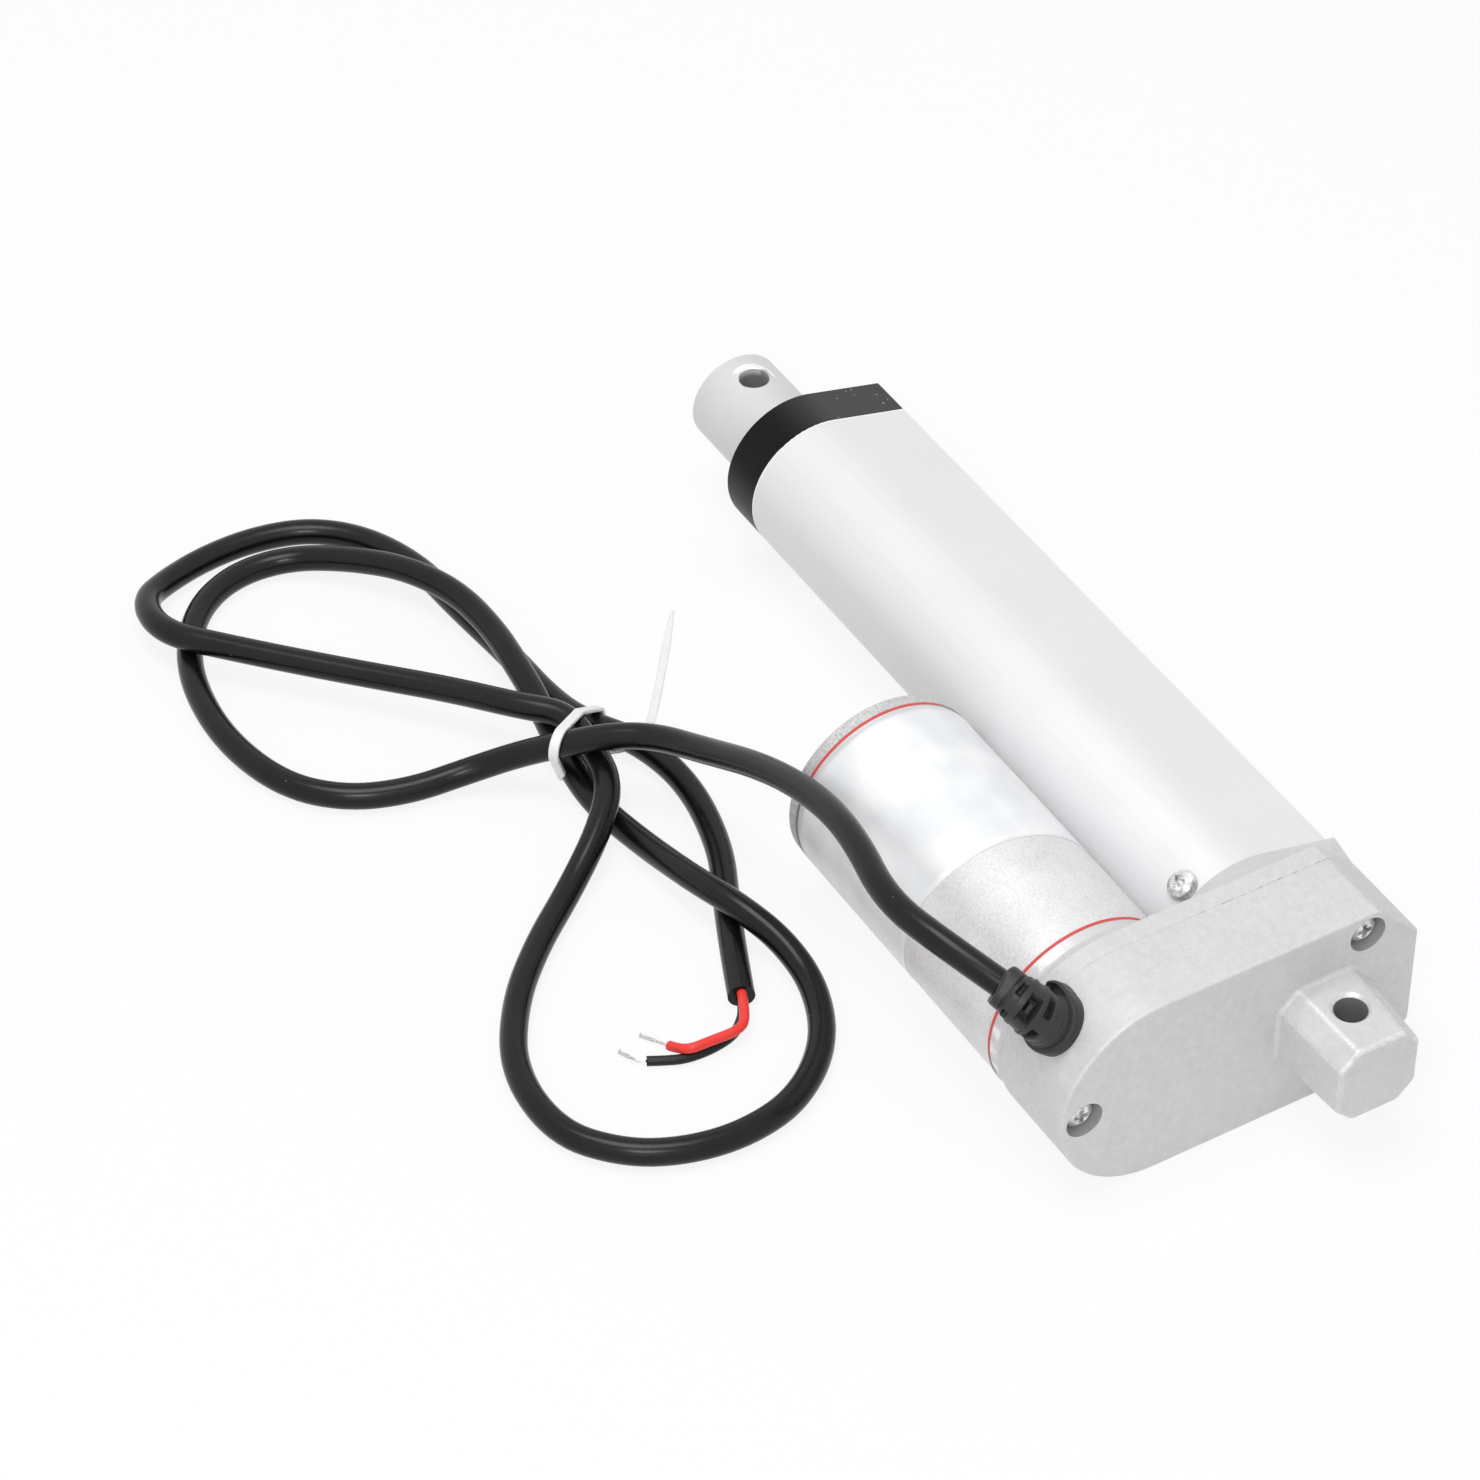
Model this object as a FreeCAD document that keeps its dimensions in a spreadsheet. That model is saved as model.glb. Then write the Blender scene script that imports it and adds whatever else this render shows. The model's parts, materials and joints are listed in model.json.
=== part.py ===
"""Electric linear actuator: motor and rod side by side on one gear casing.

Frame, in millimetres: the origin is the centre of the rear eye's bore, whose axis is +Z. +X runs along
the screw towards the rod's end, and +Y from the tube to the motor. The rod is drawn fully in.
"""

import FreeCAD, Part
import math
import os

import Sketcher
from FreeCAD import Matrix, Placement, Rotation, Vector

doc = FreeCAD.newDocument("linear_actuator")
sheet = doc.addObject("Spreadsheet::Sheet", "dims")

SIZES = {
    # overall: hole to hole with the rod in is the fixed length plus the travel
    "stroke": 100.0,
    "fixed_length": 105.0,
    # rear eye, an octagonal block with draft
    "eye_bore": 6.2,
    "eye_bevel": 0.6,
    "eye_overhang": 9.6,
    "eye_end_half": 8.5,
    "eye_base_half": 9.3,
    "eye_corner": 3.6,
    "eye_corner_round": 2.0,
    "eye_round": 1.1,
    "eye_root": 0.9,
    # gear casing: rear face, split and front face along X
    "casing_rear": 8.1,
    "casing_split": 23.7,
    "casing_front": 28.0,
    "casing_margin": 1.2,
    "casing_side": 20.3,
    "casing_corner": 9.4,
    "casing_wall": 2.6,
    "casing_floor": 3.6,
    "casing_round": 0.6,
    "casing_corner_round": 1.6,
    "casing_end_inset": 0.8,
    "split_round": 0.15,
    "shoulder_front": 29.4,
    "shoulder_drop": 1.0,
    # cover screws
    "screw_edge": 4.8,
    "screw_side_y": 8.8,
    "screw_dia": 3.0,
    "screw_head_dia": 6.0,
    "screw_head_room": 0.7,
    "screw_head_height": 2.0,
    "screw_sink": 3.0,
    "screw_play": 0.2,
    "screw_boss_wall": 2.1,
    "screw_bite": 3.4,
    # collar that holds the tube
    "collar_front": 34.15,
    "collar_wall": 1.6,
    "collar_side_wall": 0.7,
    "ramp_lean": 34.0,
    "ramp_inset": 0.2,
    "can_room": 0.4,
    # outer tube: round towards the motor, leaning flats, flat back
    "tube_round": 15.2,
    "tube_flat": 19.7,
    "tube_lean": 13.5,
    "tube_bore": 25.8,
    "tube_start": 27.2,
    "tube_edge": 0.3,
    "channel_half": 6.0,
    "channel_floor": 17.6,
    "seat_gap": 0.05,
    # radial screws that hold the tube on the bearing spigot
    "tube_screw_x": 38.3,
    "tube_screw_angle": 50.0,
    "tube_screw_dia": 2.6,
    "tube_screw_head": 5.9,
    "tube_screw_height": 2.2,
    "tube_screw_length": 5.2,
    "tube_screw_seat": 0.3,
    # front cap
    "cap_setback": 15.1,
    "cap_length": 9.5,
    "cap_round": 0.25,
    "cap_spigot": 15.5,
    "cap_lip": 2.4,
    "cap_lip_room": 0.3,
    "cap_screw_y": 16.9,
    "cap_screw_z": 8.3,
    "cap_screw_dia": 2.2,
    "cap_screw_head": 4.2,
    "cap_screw_length": 14.0,
    "cap_screw_sink": 0.3,
    "bush_wall": 1.5,
    "wiper_width": 3.0,
    "wiper_wall": 2.5,
    # rod, its solid end and the nut
    "rod_dia": 20.0,
    "rod_bore": 16.0,
    "rod_tip": 8.1,
    "rod_edge": 0.7,
    "rod_hole_bevel": 0.35,
    "plug_length": 26.0,
    "nut_rear": 43.0,
    "nut_flange": 12.0,
    "nut_spigot": 13.0,
    "nut_play": 0.3,
    "tab_half": 4.5,
    "tab_depth": 16.0,
    "tab_edge": 1.0,
    "slide_play": 0.04,
    # lead screw and its bearing
    "screw_thread": 10.0,
    "screw_chamfer": 1.0,
    "screw_past_nut": 1.0,
    "screw_tail_gap": 0.5,
    "journal_dia": 6.0,
    "journal_room": 1.0,
    "gear_seat_dia": 5.5,
    "spigot_front": 41.6,
    "bearing_rear": 29.0,
    "bearing_width": 6.0,
    "bearing_dia": 19.0,
    "race_wall": 1.6,
    "ball_dia": 3.2,
    "ring_width": 1.2,
    "ring_wall": 1.2,
    "rear_bush_dia": 10.0,
    "rear_bush_length": 4.4,
    "rear_bush_sink": 1.3,
    # gears: both pairs together span the distance from screw to motor
    "driven_width": 5.2,
    "idler_width": 4.4,
    "gear_gap": 0.6,
    "gear_shim": 0.9,
    "axle_dia": 4.0,
    "axle_sink": 1.4,
    "axle_boss_wall": 1.4,
    # motor, set beside the tube by a clearance
    "can_dia": 38.6,
    "can_wall": 1.5,
    "motor_clearance": 0.7,
    "boss_front": 31.7,
    "boss_spigot": 2.3,
    "gasket_thickness": 0.6,
    "gasket_proud": 0.1,
    "can_length": 65.15,
    "end_cap_thickness": 2.8,
    "end_cap_round": 0.5,
    "end_cap_spigot": 1.6,
    "end_cap_spigot_wall": 2.0,
    "end_cap_bush_wall": 2.0,
    "shaft_dia": 4.0,
    "shaft_room": 0.6,
    "shaft_lead": 0.4,
    "shaft_end_play": 0.3,
    "shaft_bush_dia": 10.0,
    "shaft_bush_length": 6.0,
    # armature, magnets and brushes, set back from the can's rear end
    "commutator_setback": 10.95,
    "commutator_dia": 11.0,
    "commutator_length": 6.0,
    "commutator_gap": 6.5,
    "core_length": 34.0,
    "winding_inset": 1.7,
    "winding_length": 5.0,
    "winding_round": 1.0,
    "winding_liner": 1.0,
    "magnet_thickness": 5.0,
    "magnet_gap": 0.6,
    "magnet_length": 38.0,
    "magnet_span": 124.0,
    "brush_width": 4.0,
    "brush_length": 5.0,
    "brush_inset": 0.8,
    "brush_plate_thickness": 1.6,
    "brush_plate_room": 1.5,
    "brush_plate_gap": 0.4,
    "bolt_edge": 2.4,
    "bolt_dia": 3.0,
    "bolt_head_dia": 5.0,
    "bolt_head_height": 1.8,
    "bolt_bite": 6.0,
    # limit switches on a strip in the tube's channel
    "board_thickness": 1.2,
    "board_end_gap": 2.0,
    "switch_length": 9.0,
    "switch_height": 3.2,
    "switch_half": 4.2,
    "plunger_dia": 1.6,
    "plunger_reach": 3.6,
    "plunger_inside": 3.0,
    "plunger_travel": 1.2,
    "plunger_gap": 0.2,
    # cord gland on the casing's round end
    "gland_x": 20.3,
    "gland_angle": 43.8,
    "gland_flange_dia": 11.8,
    "gland_flange": 2.2,
    "gland_sink": 2.0,
    "gland_bend": 8.0,
    "gland_turn": 66.0,
    "gland_body_dia": 7.9,
    "gland_rib_dia": 9.9,
    "gland_rib_taper": 1.5,
    "gland_rib": 1.3,
    "gland_nozzle": 1.4,
    "gland_ring_dia": 8.2,
    "gland_hole": 6.0,
    # cord, tie and wires
    "cord_dia": 4.9,
    "cord_lead": 11.5,
    "wire_dia": 1.9,
    "strand_dia": 0.9,
    "tie_width": 2.0,
    "tie_thickness": 0.9,
    "tie_slack": 0.2,
    "tie_head": 3.4,
}

PINION_TOOTH_COUNT = 11
IDLER_TOOTH_COUNT = 33
IDLER_PINION_TOOTH_COUNT = 12
DRIVEN_TOOTH_COUNT = 32
BALL_COUNT = 7

# tooth form: the angle in degrees, the rest as shares of the module
PRESSURE_ANGLE = 20.0
FULL_ADDENDUM = 1.0
STUB_ADDENDUM = 0.8
DEDENDUM = 1.25
BACKLASH = 0.125

# screw heads: the dome as shares of the head's height and radius, the cross recess as shares of the radius
HEAD_DOME = [(1.0, 0.55), (0.72, 0.86), (0.3, 1.0)]
RECESS_ARM = 0.5
RECESS_SLOT = 0.16
RECESS_DEPTH = 0.42
SCREW_POINT = 0.4

# how much of the shorter run an arc in a cord's path takes up
ARC_SHARE = 0.45

# where the gland's ribs stand along its elbow
RIB_SHARES = (0.12, 0.42, 0.72)

for row, (name, number) in enumerate(SIZES.items(), 1):
    sheet.set(f"A{row}", name)
    sheet.set(f"B{row}", str(number))
    sheet.setAlias(f"B{row}", name)
doc.recompute()


class Size:
    """A length that keeps its value and the sheet expression that it comes from."""

    def __init__(self, value, text):
        self.value = value
        self.text = text

    def __add__(self, other):
        other = as_size(other)
        return Size(self.value + other.value, f"({self.text} + {other.text})")

    def __sub__(self, other):
        other = as_size(other)
        return Size(self.value - other.value, f"({self.text} - {other.text})")

    def __mul__(self, other):
        other = as_size(other)
        return Size(self.value * other.value, f"({self.text} * {other.text})")

    def __truediv__(self, other):
        other = as_size(other)
        return Size(self.value / other.value, f"({self.text} / {other.text})")

    def __neg__(self):
        return Size(-self.value, f"(0 - {self.text})")

    def __rsub__(self, other):
        return as_size(other) - self

    def __radd__(self, other):
        return as_size(other) + self

    def __rmul__(self, other):
        return as_size(other) * self


def as_size(number):
    return number if isinstance(number, Size) else Size(float(number), repr(float(number)))


def cos(angle):
    return Size(math.cos(math.radians(angle.value)), f"cos({angle.text} * 1 deg)")


def sin(angle):
    return Size(math.sin(math.radians(angle.value)), f"sin({angle.text} * 1 deg)")


def tan(angle):
    return sin(angle) / cos(angle)


class Named:
    """Each cell of the sheet as a Size."""

    def __getattr__(self, name):
        return Size(float(sheet.get(name)), "dims." + name)


d = Named()
ZERO = as_size(0)
# how far a cut reaches past the face it opens
PAST = as_size(1)

# places that several pieces share
rod_eye = d.fixed_length + d.stroke
cap_front = rod_eye - d.cap_setback
tube_end = cap_front - d.cap_length
rod_end = rod_eye + d.rod_tip
rod_rear = d.nut_rear + d.nut_flange
can_radius = d.can_dia / 2
can_inner = can_radius - d.can_wall
motor_offset = can_radius + d.tube_round + d.motor_clearance
can_start = d.boss_front + d.gasket_thickness
can_end = can_start + d.can_length
end_cap_start = can_end + d.gasket_thickness
end_cap_face = end_cap_start + d.end_cap_thickness
bolt_offset = can_inner - d.bolt_edge
bolt_seats = [motor_offset + bolt_offset, motor_offset - bolt_offset]
casing_half = can_radius + d.casing_margin
casing_end_y = motor_offset - d.casing_end_inset
bay_floor = d.casing_rear + d.casing_floor
idler_rear = bay_floor + d.gear_shim
driven_rear = idler_rear + d.gear_gap
wheel_rear = driven_rear + d.driven_width + d.gear_gap
bearing_front = d.bearing_rear + d.bearing_width
first_pair = IDLER_PINION_TOOTH_COUNT + DRIVEN_TOOTH_COUNT
second_pair = PINION_TOOTH_COUNT + IDLER_TOOTH_COUNT
gear_module = 2 * motor_offset / (first_pair + second_pair)
idler_y = gear_module * (first_pair / 2)
spigot_dia = d.tube_bore - 2 * d.seat_gap
screw_side_z = casing_half - d.screw_edge
screw_seats = [
    (casing_end_y + casing_half - d.screw_edge, ZERO),
    (-d.screw_side_y, screw_side_z),
    (-d.screw_side_y, -screw_side_z),
]


# Sketching


def body(label):
    return doc.addObject("PartDesign::Body", label)


def sketch(owner, role, offset=ZERO):
    """A sketch on one of the body's own planes, moved along its normal."""
    made = owner.newObject("Sketcher::SketchObject", owner.Name + "_sketch")
    plane = [f for f in owner.Origin.OriginFeatures if f.Role == role][0]
    made.AttachmentSupport = (plane, [""])
    made.MapMode = "FlatFace"
    made.setExpression(".AttachmentOffset.Base.z", offset.text)
    return made


def fix(made, kind, places, length):
    index = made.addConstraint(Sketcher.Constraint(kind, *places, length.value))
    made.setExpression(f"Constraints[{index}]", length.text)


def pin(made, edge, point, x, y):
    fix(made, "DistanceX", (-1, 1, edge, point), as_size(x))
    fix(made, "DistanceY", (-1, 1, edge, point), as_size(y))


def flat_point(point):
    return Vector(as_size(point[0]).value, as_size(point[1]).value, 0)


def polygon(made, points):
    first = made.GeometryCount
    count = len(points)
    for i in range(count):
        made.addGeometry(Part.LineSegment(flat_point(points[i]), flat_point(points[(i + 1) % count])), False)
    for i in range(count):
        made.addConstraint(Sketcher.Constraint("Coincident", first + i, 2, first + (i + 1) % count, 1))
    for i in range(count):
        pin(made, first + i, 1, *points[i])


def circle(made, x, y, diameter):
    x, y = as_size(x), as_size(y)
    centre = Vector(x.value, y.value, 0)
    index = made.addGeometry(Part.Circle(centre, Vector(0, 0, 1), diameter.value / 2), False)
    pin(made, index, 3, x, y)
    fix(made, "Diameter", (index,), diameter)


def rounded_outline(made, points, centre):
    """Lines through the points, closed by an arc about (centre, 0) from the last point to the first."""
    for start, end in zip(points, points[1:]):
        made.addGeometry(Part.LineSegment(flat_point(start), flat_point(end)), False)
    arc = len(points) - 1
    reach = as_size(points[0][0]).value - centre.value
    rise = as_size(points[0][1]).value
    turn = math.atan2(rise, reach)
    ring = Part.Circle(Vector(centre.value, 0, 0), Vector(0, 0, 1), math.hypot(rise, reach))
    made.addGeometry(Part.ArcOfCircle(ring, -turn, turn), False)
    for i in range(arc - 1):
        made.addConstraint(Sketcher.Constraint("Coincident", i, 2, i + 1, 1))
    made.addConstraint(Sketcher.Constraint("Coincident", arc - 1, 2, arc, 1))
    made.addConstraint(Sketcher.Constraint("Coincident", arc, 2, 0, 1))
    for i, point in enumerate(points[:-1]):
        pin(made, i, 1, *point)
    pin(made, arc - 1, 2, *points[-1])
    fix(made, "DistanceX", (-1, 1, arc, 3), centre)


def casing_outline(made, inset):
    """Round at the motor's end, bevelled corners at the tube's end."""
    half = casing_half - inset
    side = d.casing_side - inset
    corner = d.casing_corner - inset * (2 - math.sqrt(2))
    points = [
        (casing_end_y, half),
        (corner - side, half),
        (-side, half - corner),
        (-side, corner - half),
        (corner - side, -half),
        (casing_end_y, -half),
    ]
    rounded_outline(made, points, casing_end_y)


def teardrop(made, radius, flat, lean):
    """A circle about the screw with two flats that lean in towards a flat back."""
    rise = radius / cos(lean) - flat * tan(lean)
    along = radius * sin(lean)
    up = radius * cos(lean)
    rounded_outline(made, [(-along, up), (-flat, rise), (-flat, -rise), (-along, -up)], ZERO)


def octagon(made, half, corner):
    short = half - corner
    points = [(half, short), (short, half), (-short, half), (-half, short)]
    points += [(-half, -short), (-short, -half), (short, -half), (half, -short)]
    polygon(made, points)


# Features


def pad(owner, made, length):
    feature = owner.newObject("PartDesign::Pad", owner.Name + "_pad")
    feature.Profile = made
    feature.setExpression("Length", length.text)
    return feature


def pocket(owner, made, depth, forward=False):
    """A cut towards -X from the sketch, or towards +X."""
    feature = owner.newObject("PartDesign::Pocket", owner.Name + "_pocket")
    feature.Profile = made
    feature.Reversed = forward
    feature.setExpression("Length", depth.text)
    return feature


def turn(owner, points, axis_y=ZERO, cut=False, angle=None):
    """A profile of (x, radius) points turned about a line along X."""
    made = sketch(owner, "XZ_Plane", -axis_y)
    polygon(made, points)
    kind = "PartDesign::Groove" if cut else "PartDesign::Revolution"
    feature = owner.newObject(kind, owner.Name + "_turn")
    feature.Profile = made
    feature.ReferenceAxis = (made, ["H_Axis"])
    if angle is None:
        feature.Angle = 360
    else:
        feature.setExpression("Angle", angle.text)
        feature.Midplane = True
    return feature


def groove(owner, made, start, end):
    """A cut turned about the line from start to end in the sketch."""
    axis = made.addGeometry(Part.LineSegment(flat_point(start), flat_point(end)), True)
    pin(made, axis, 1, *start)
    pin(made, axis, 2, *end)
    feature = owner.newObject("PartDesign::Groove", owner.Name + "_groove")
    feature.Profile = made
    feature.ReferenceAxis = (made, ["Axis0"])
    feature.Angle = 360
    return feature


def turned(label, points, axis_y=ZERO):
    made = body(label)
    turn(made, points, axis_y)
    return made


def ring(label, start, end, inner, outer, axis_y=ZERO):
    inner, outer = inner / 2, outer / 2
    return turned(label, [(start, inner), (end, inner), (end, outer), (start, outer)], axis_y)


def round_edges(owner, base, test, radius):
    doc.recompute()
    names = [f"Edge{i}" for i, edge in enumerate(base.Shape.Edges, 1) if test(edge)]
    feature = owner.newObject("PartDesign::Fillet", owner.Name + "_round")
    feature.Base = (base, names)
    feature.setExpression("Radius", radius.text)
    return feature


def at_x(edge, x):
    box = edge.BoundBox
    return abs(box.XMin - x.value) < 1e-4 and abs(box.XMax - x.value) < 1e-4


def drill(owner, start, direction, diameter, depth):
    """A round hole from a point, in any direction."""
    feature = owner.newObject("PartDesign::SubtractiveCylinder", owner.Name + "_drill")
    feature.setExpression("Radius", (diameter / 2).text)
    feature.setExpression("Height", depth.text)
    feature.Placement = Placement(start, Rotation(Vector(0, 0, 1), direction))
    return feature


def group(label, members):
    made = doc.addObject("Part::Compound", label)
    made.Links = members
    return made


def cross_recess(owner, x, reach):
    """A cross-shaped driver recess in a head that faces -X."""
    arm = reach * RECESS_ARM
    slot = reach * RECESS_SLOT
    made = sketch(owner, "YZ_Plane", x)
    points = [(arm, -slot), (arm, slot), (slot, slot), (slot, arm), (-slot, arm), (-slot, slot)]
    points += [(-arm, slot), (-arm, -slot), (-slot, -slot), (-slot, -arm), (slot, -arm), (slot, -slot)]
    polygon(made, points)
    pocket(owner, made, reach * RECESS_DEPTH, forward=True)


def pan_screw(label, diameter, length, head, height):
    """A screw along +X with the underside of its domed head at 0."""
    made = body(label)
    radius = diameter / 2
    half = head / 2
    point = radius * SCREW_POINT
    profile = [(-height, ZERO)]
    profile += [(height * -up, half * out) for up, out in HEAD_DOME]
    profile += [
        (ZERO, half),
        (ZERO, radius),
        (length - point, radius),
        (length, radius - point),
        (length, ZERO),
    ]
    turn(made, profile)
    cross_recess(made, -height, half)
    return made


def place(made, x, y, z):
    for axis, length in zip("xyz", (x, y, z)):
        made.setExpression(f".Placement.Base.{axis}", as_size(length).text)


# Gear casing


def casing_corner(edge):
    """An edge along X where the bevels at the tube's end meet the sides."""
    box = edge.BoundBox
    return box.XLength > PAST.value and box.YLength < 1e-4 and box.YMax < 0


cover = body("rear_cover")
outline = sketch(cover, "YZ_Plane", d.casing_rear)
casing_outline(outline, ZERO)
block = pad(cover, outline, d.casing_split - d.casing_rear)
soft = round_edges(cover, block, casing_corner, d.casing_corner_round)
soft = round_edges(cover, soft, lambda e: at_x(e, d.casing_rear), d.casing_round)
round_edges(cover, soft, lambda e: at_x(e, d.casing_split), d.split_round)
eye_base = sketch(cover, "YZ_Plane", d.casing_rear)
octagon(eye_base, d.eye_base_half, d.eye_corner)
eye_end = sketch(cover, "YZ_Plane", -d.eye_overhang)
octagon(eye_end, d.eye_end_half, d.eye_corner)
eye = cover.newObject("PartDesign::AdditiveLoft", "rear_eye")
eye.Profile = eye_base
eye.Sections = [eye_end]
eye.Ruled = True


def reach_across(edge):
    """How far the edge reaches from the screw's axis in Y or Z."""
    box = edge.BoundBox
    return max(abs(box.YMin), abs(box.YMax), abs(box.ZMin), abs(box.ZMax))


def on_eye(edge):
    inside = reach_across(edge) < d.eye_base_half.value + PAST.value / 2
    return inside and edge.BoundBox.XMin < (d.casing_rear - PAST).value


def eye_rim(edge):
    return at_x(edge, -d.eye_overhang)


eye_sides = round_edges(cover, eye, lambda e: on_eye(e) and not eye_rim(e), d.eye_corner_round)
eye_soft = round_edges(cover, eye_sides, eye_rim, d.eye_round)


def eye_foot(edge):
    return at_x(edge, d.casing_rear) and reach_across(edge) < d.eye_base_half.value + PAST.value / 2


round_edges(cover, eye_soft, eye_foot, d.eye_root)

# the bore through the eye, bevelled at both mouths
eye_share = d.casing_rear / (d.casing_rear + d.eye_overhang)
eye_half = d.eye_base_half - (d.eye_base_half - d.eye_end_half) * eye_share
bore = d.eye_bore / 2
bore_sketch = sketch(cover, "XZ_Plane")
mouth = eye_half + PAST
wide = bore + d.eye_bevel + PAST
polygon(
    bore_sketch,
    [
        (ZERO, -mouth),
        (wide, -mouth),
        (bore, d.eye_bevel - eye_half),
        (bore, eye_half - d.eye_bevel),
        (wide, mouth),
        (ZERO, mouth),
    ],
)
bore_cut = cover.newObject("PartDesign::Groove", "eye_bore")
bore_cut.Profile = bore_sketch
bore_cut.ReferenceAxis = (bore_sketch, ["V_Axis"])
bore_cut.Angle = 360

# gear bay, screw bosses and bearing seats
bay = sketch(cover, "YZ_Plane", d.casing_split)
casing_outline(bay, d.casing_wall)
pocket(cover, bay, d.casing_split - bay_floor)
screw_hole = d.screw_dia + d.screw_play
for y, z in screw_seats:
    boss = sketch(cover, "YZ_Plane", bay_floor - d.casing_floor / 2)
    circle(boss, y, z, screw_hole + 2 * d.screw_boss_wall)
    pad(cover, boss, d.casing_split - bay_floor + d.casing_floor / 2)
axle_boss = sketch(cover, "YZ_Plane", bay_floor - d.casing_floor / 2)
circle(axle_boss, idler_y, ZERO, d.axle_dia + 2 * d.axle_boss_wall)
pad(cover, axle_boss, d.casing_floor / 2 + d.gear_shim - d.gear_gap / 2)
for y, z in screw_seats:
    sink = sketch(cover, "YZ_Plane", d.casing_rear)
    circle(sink, y, z, d.screw_head_dia + 2 * d.screw_head_room)
    pocket(cover, sink, d.screw_sink, forward=True)
    through = sketch(cover, "YZ_Plane", d.casing_split)
    circle(through, y, z, screw_hole)
    pocket(cover, through, d.casing_split - d.casing_rear)
bush_floor = d.casing_rear - d.rear_bush_sink
turn(
    cover,
    [
        (bush_floor, ZERO),
        (bay_floor + d.casing_floor, ZERO),
        (bay_floor + d.casing_floor, d.rear_bush_dia / 2),
        (bush_floor, d.rear_bush_dia / 2),
    ],
    cut=True,
)
axle_floor = bay_floor - d.axle_sink
turn(
    cover,
    [
        (axle_floor, ZERO),
        (bay_floor + d.casing_floor, ZERO),
        (bay_floor + d.casing_floor, d.axle_dia / 2),
        (axle_floor, d.axle_dia / 2),
    ],
    idler_y,
    cut=True,
)
gland_out = Vector(0, cos(d.gland_angle).value, sin(d.gland_angle).value)
gland_axis = Vector(d.gland_x.value, casing_end_y.value, 0)
gland_inside = casing_half - 2 * d.casing_wall
drill(cover, gland_axis + gland_out * gland_inside.value, gland_out, d.gland_hole, 3 * d.casing_wall)

front = body("front_housing")
outline = sketch(front, "YZ_Plane", d.casing_split)
casing_outline(outline, ZERO)
block = pad(front, outline, d.casing_front - d.casing_split)
soft = round_edges(front, block, casing_corner, d.casing_corner_round)
soft = round_edges(front, soft, lambda e: at_x(e, d.casing_front), d.casing_round)
round_edges(front, soft, lambda e: at_x(e, d.casing_split), d.split_round)
shoulder = d.casing_front - d.casing_round
ramp_radius = casing_half - d.ramp_inset
ramp = sketch(front, "YZ_Plane", shoulder)
teardrop(ramp, ramp_radius, d.casing_side - d.ramp_inset, d.ramp_lean)
rim = sketch(front, "YZ_Plane", d.collar_front)
teardrop(rim, d.tube_round + d.collar_wall, d.tube_flat + d.collar_side_wall, d.tube_lean)
collar = front.newObject("PartDesign::AdditiveLoft", "tube_collar")
collar.Profile = ramp
collar.Sections = [rim]
collar.Ruled = True
turn(
    front,
    [
        (shoulder, ZERO),
        (d.shoulder_front, ZERO),
        (d.shoulder_front, casing_half - d.shoulder_drop),
        (shoulder, ramp_radius),
    ],
    casing_end_y,
)
turn(
    front,
    [
        (shoulder, ZERO),
        (d.boss_front, ZERO),
        (d.boss_front, can_radius),
        (shoulder, can_radius),
    ],
    motor_offset,
)
# room for the motor can where it passes the collar
turn(
    front,
    [
        (d.boss_front, ZERO),
        (d.collar_front + PAST, ZERO),
        (d.collar_front + PAST, can_radius + d.can_room),
        (d.boss_front, can_radius + d.can_room),
    ],
    motor_offset,
    cut=True,
)
turn(
    front,
    [
        (d.casing_front, ZERO),
        (d.boss_front + d.boss_spigot, ZERO),
        (d.boss_front + d.boss_spigot, can_inner - d.seat_gap),
        (d.casing_front, can_inner - d.seat_gap),
    ],
    motor_offset,
)
socket = sketch(front, "YZ_Plane", d.collar_front + PAST)
teardrop(socket, d.tube_round + d.seat_gap, d.tube_flat + d.seat_gap, d.tube_lean)
pocket(front, socket, d.collar_front + PAST - d.tube_start)
turn(
    front,
    [
        (d.tube_start - PAST, ZERO),
        (d.spigot_front, ZERO),
        (d.spigot_front, spigot_dia / 2),
        (d.tube_start - PAST, spigot_dia / 2),
    ],
)
turn(
    front,
    [
        (d.casing_split - PAST, ZERO),
        (d.casing_split - PAST, d.journal_dia / 2 + d.journal_room),
        (d.bearing_rear, d.journal_dia / 2 + d.journal_room),
        (d.bearing_rear, d.bearing_dia / 2),
        (d.spigot_front + PAST, d.bearing_dia / 2),
        (d.spigot_front + PAST, ZERO),
    ],
    cut=True,
)
shaft_bush_front = d.boss_front + d.boss_spigot
shaft_bush_rear = shaft_bush_front - d.shaft_bush_length
turn(
    front,
    [
        (d.casing_split - PAST, ZERO),
        (d.casing_split - PAST, d.shaft_dia / 2 + d.shaft_room),
        (shaft_bush_rear, d.shaft_dia / 2 + d.shaft_room),
        (shaft_bush_rear, d.shaft_bush_dia / 2),
        (shaft_bush_front + PAST, d.shaft_bush_dia / 2),
        (shaft_bush_front + PAST, ZERO),
    ],
    motor_offset,
    cut=True,
)
axle_end = d.casing_split + d.axle_sink
turn(
    front,
    [
        (d.casing_split - PAST, ZERO),
        (axle_end, ZERO),
        (axle_end, d.axle_dia / 2),
        (d.casing_split - PAST, d.axle_dia / 2),
    ],
    idler_y,
    cut=True,
)
threads = sketch(front, "YZ_Plane", d.casing_split)
for y, z in screw_seats:
    circle(threads, y, z, d.screw_dia)
pocket(front, threads, d.screw_bite, forward=True)
bolt_holes = sketch(front, "YZ_Plane", shaft_bush_front)
for y in bolt_seats:
    circle(bolt_holes, y, ZERO, d.bolt_dia)
pocket(front, bolt_holes, d.bolt_bite)

# Tube

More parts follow.
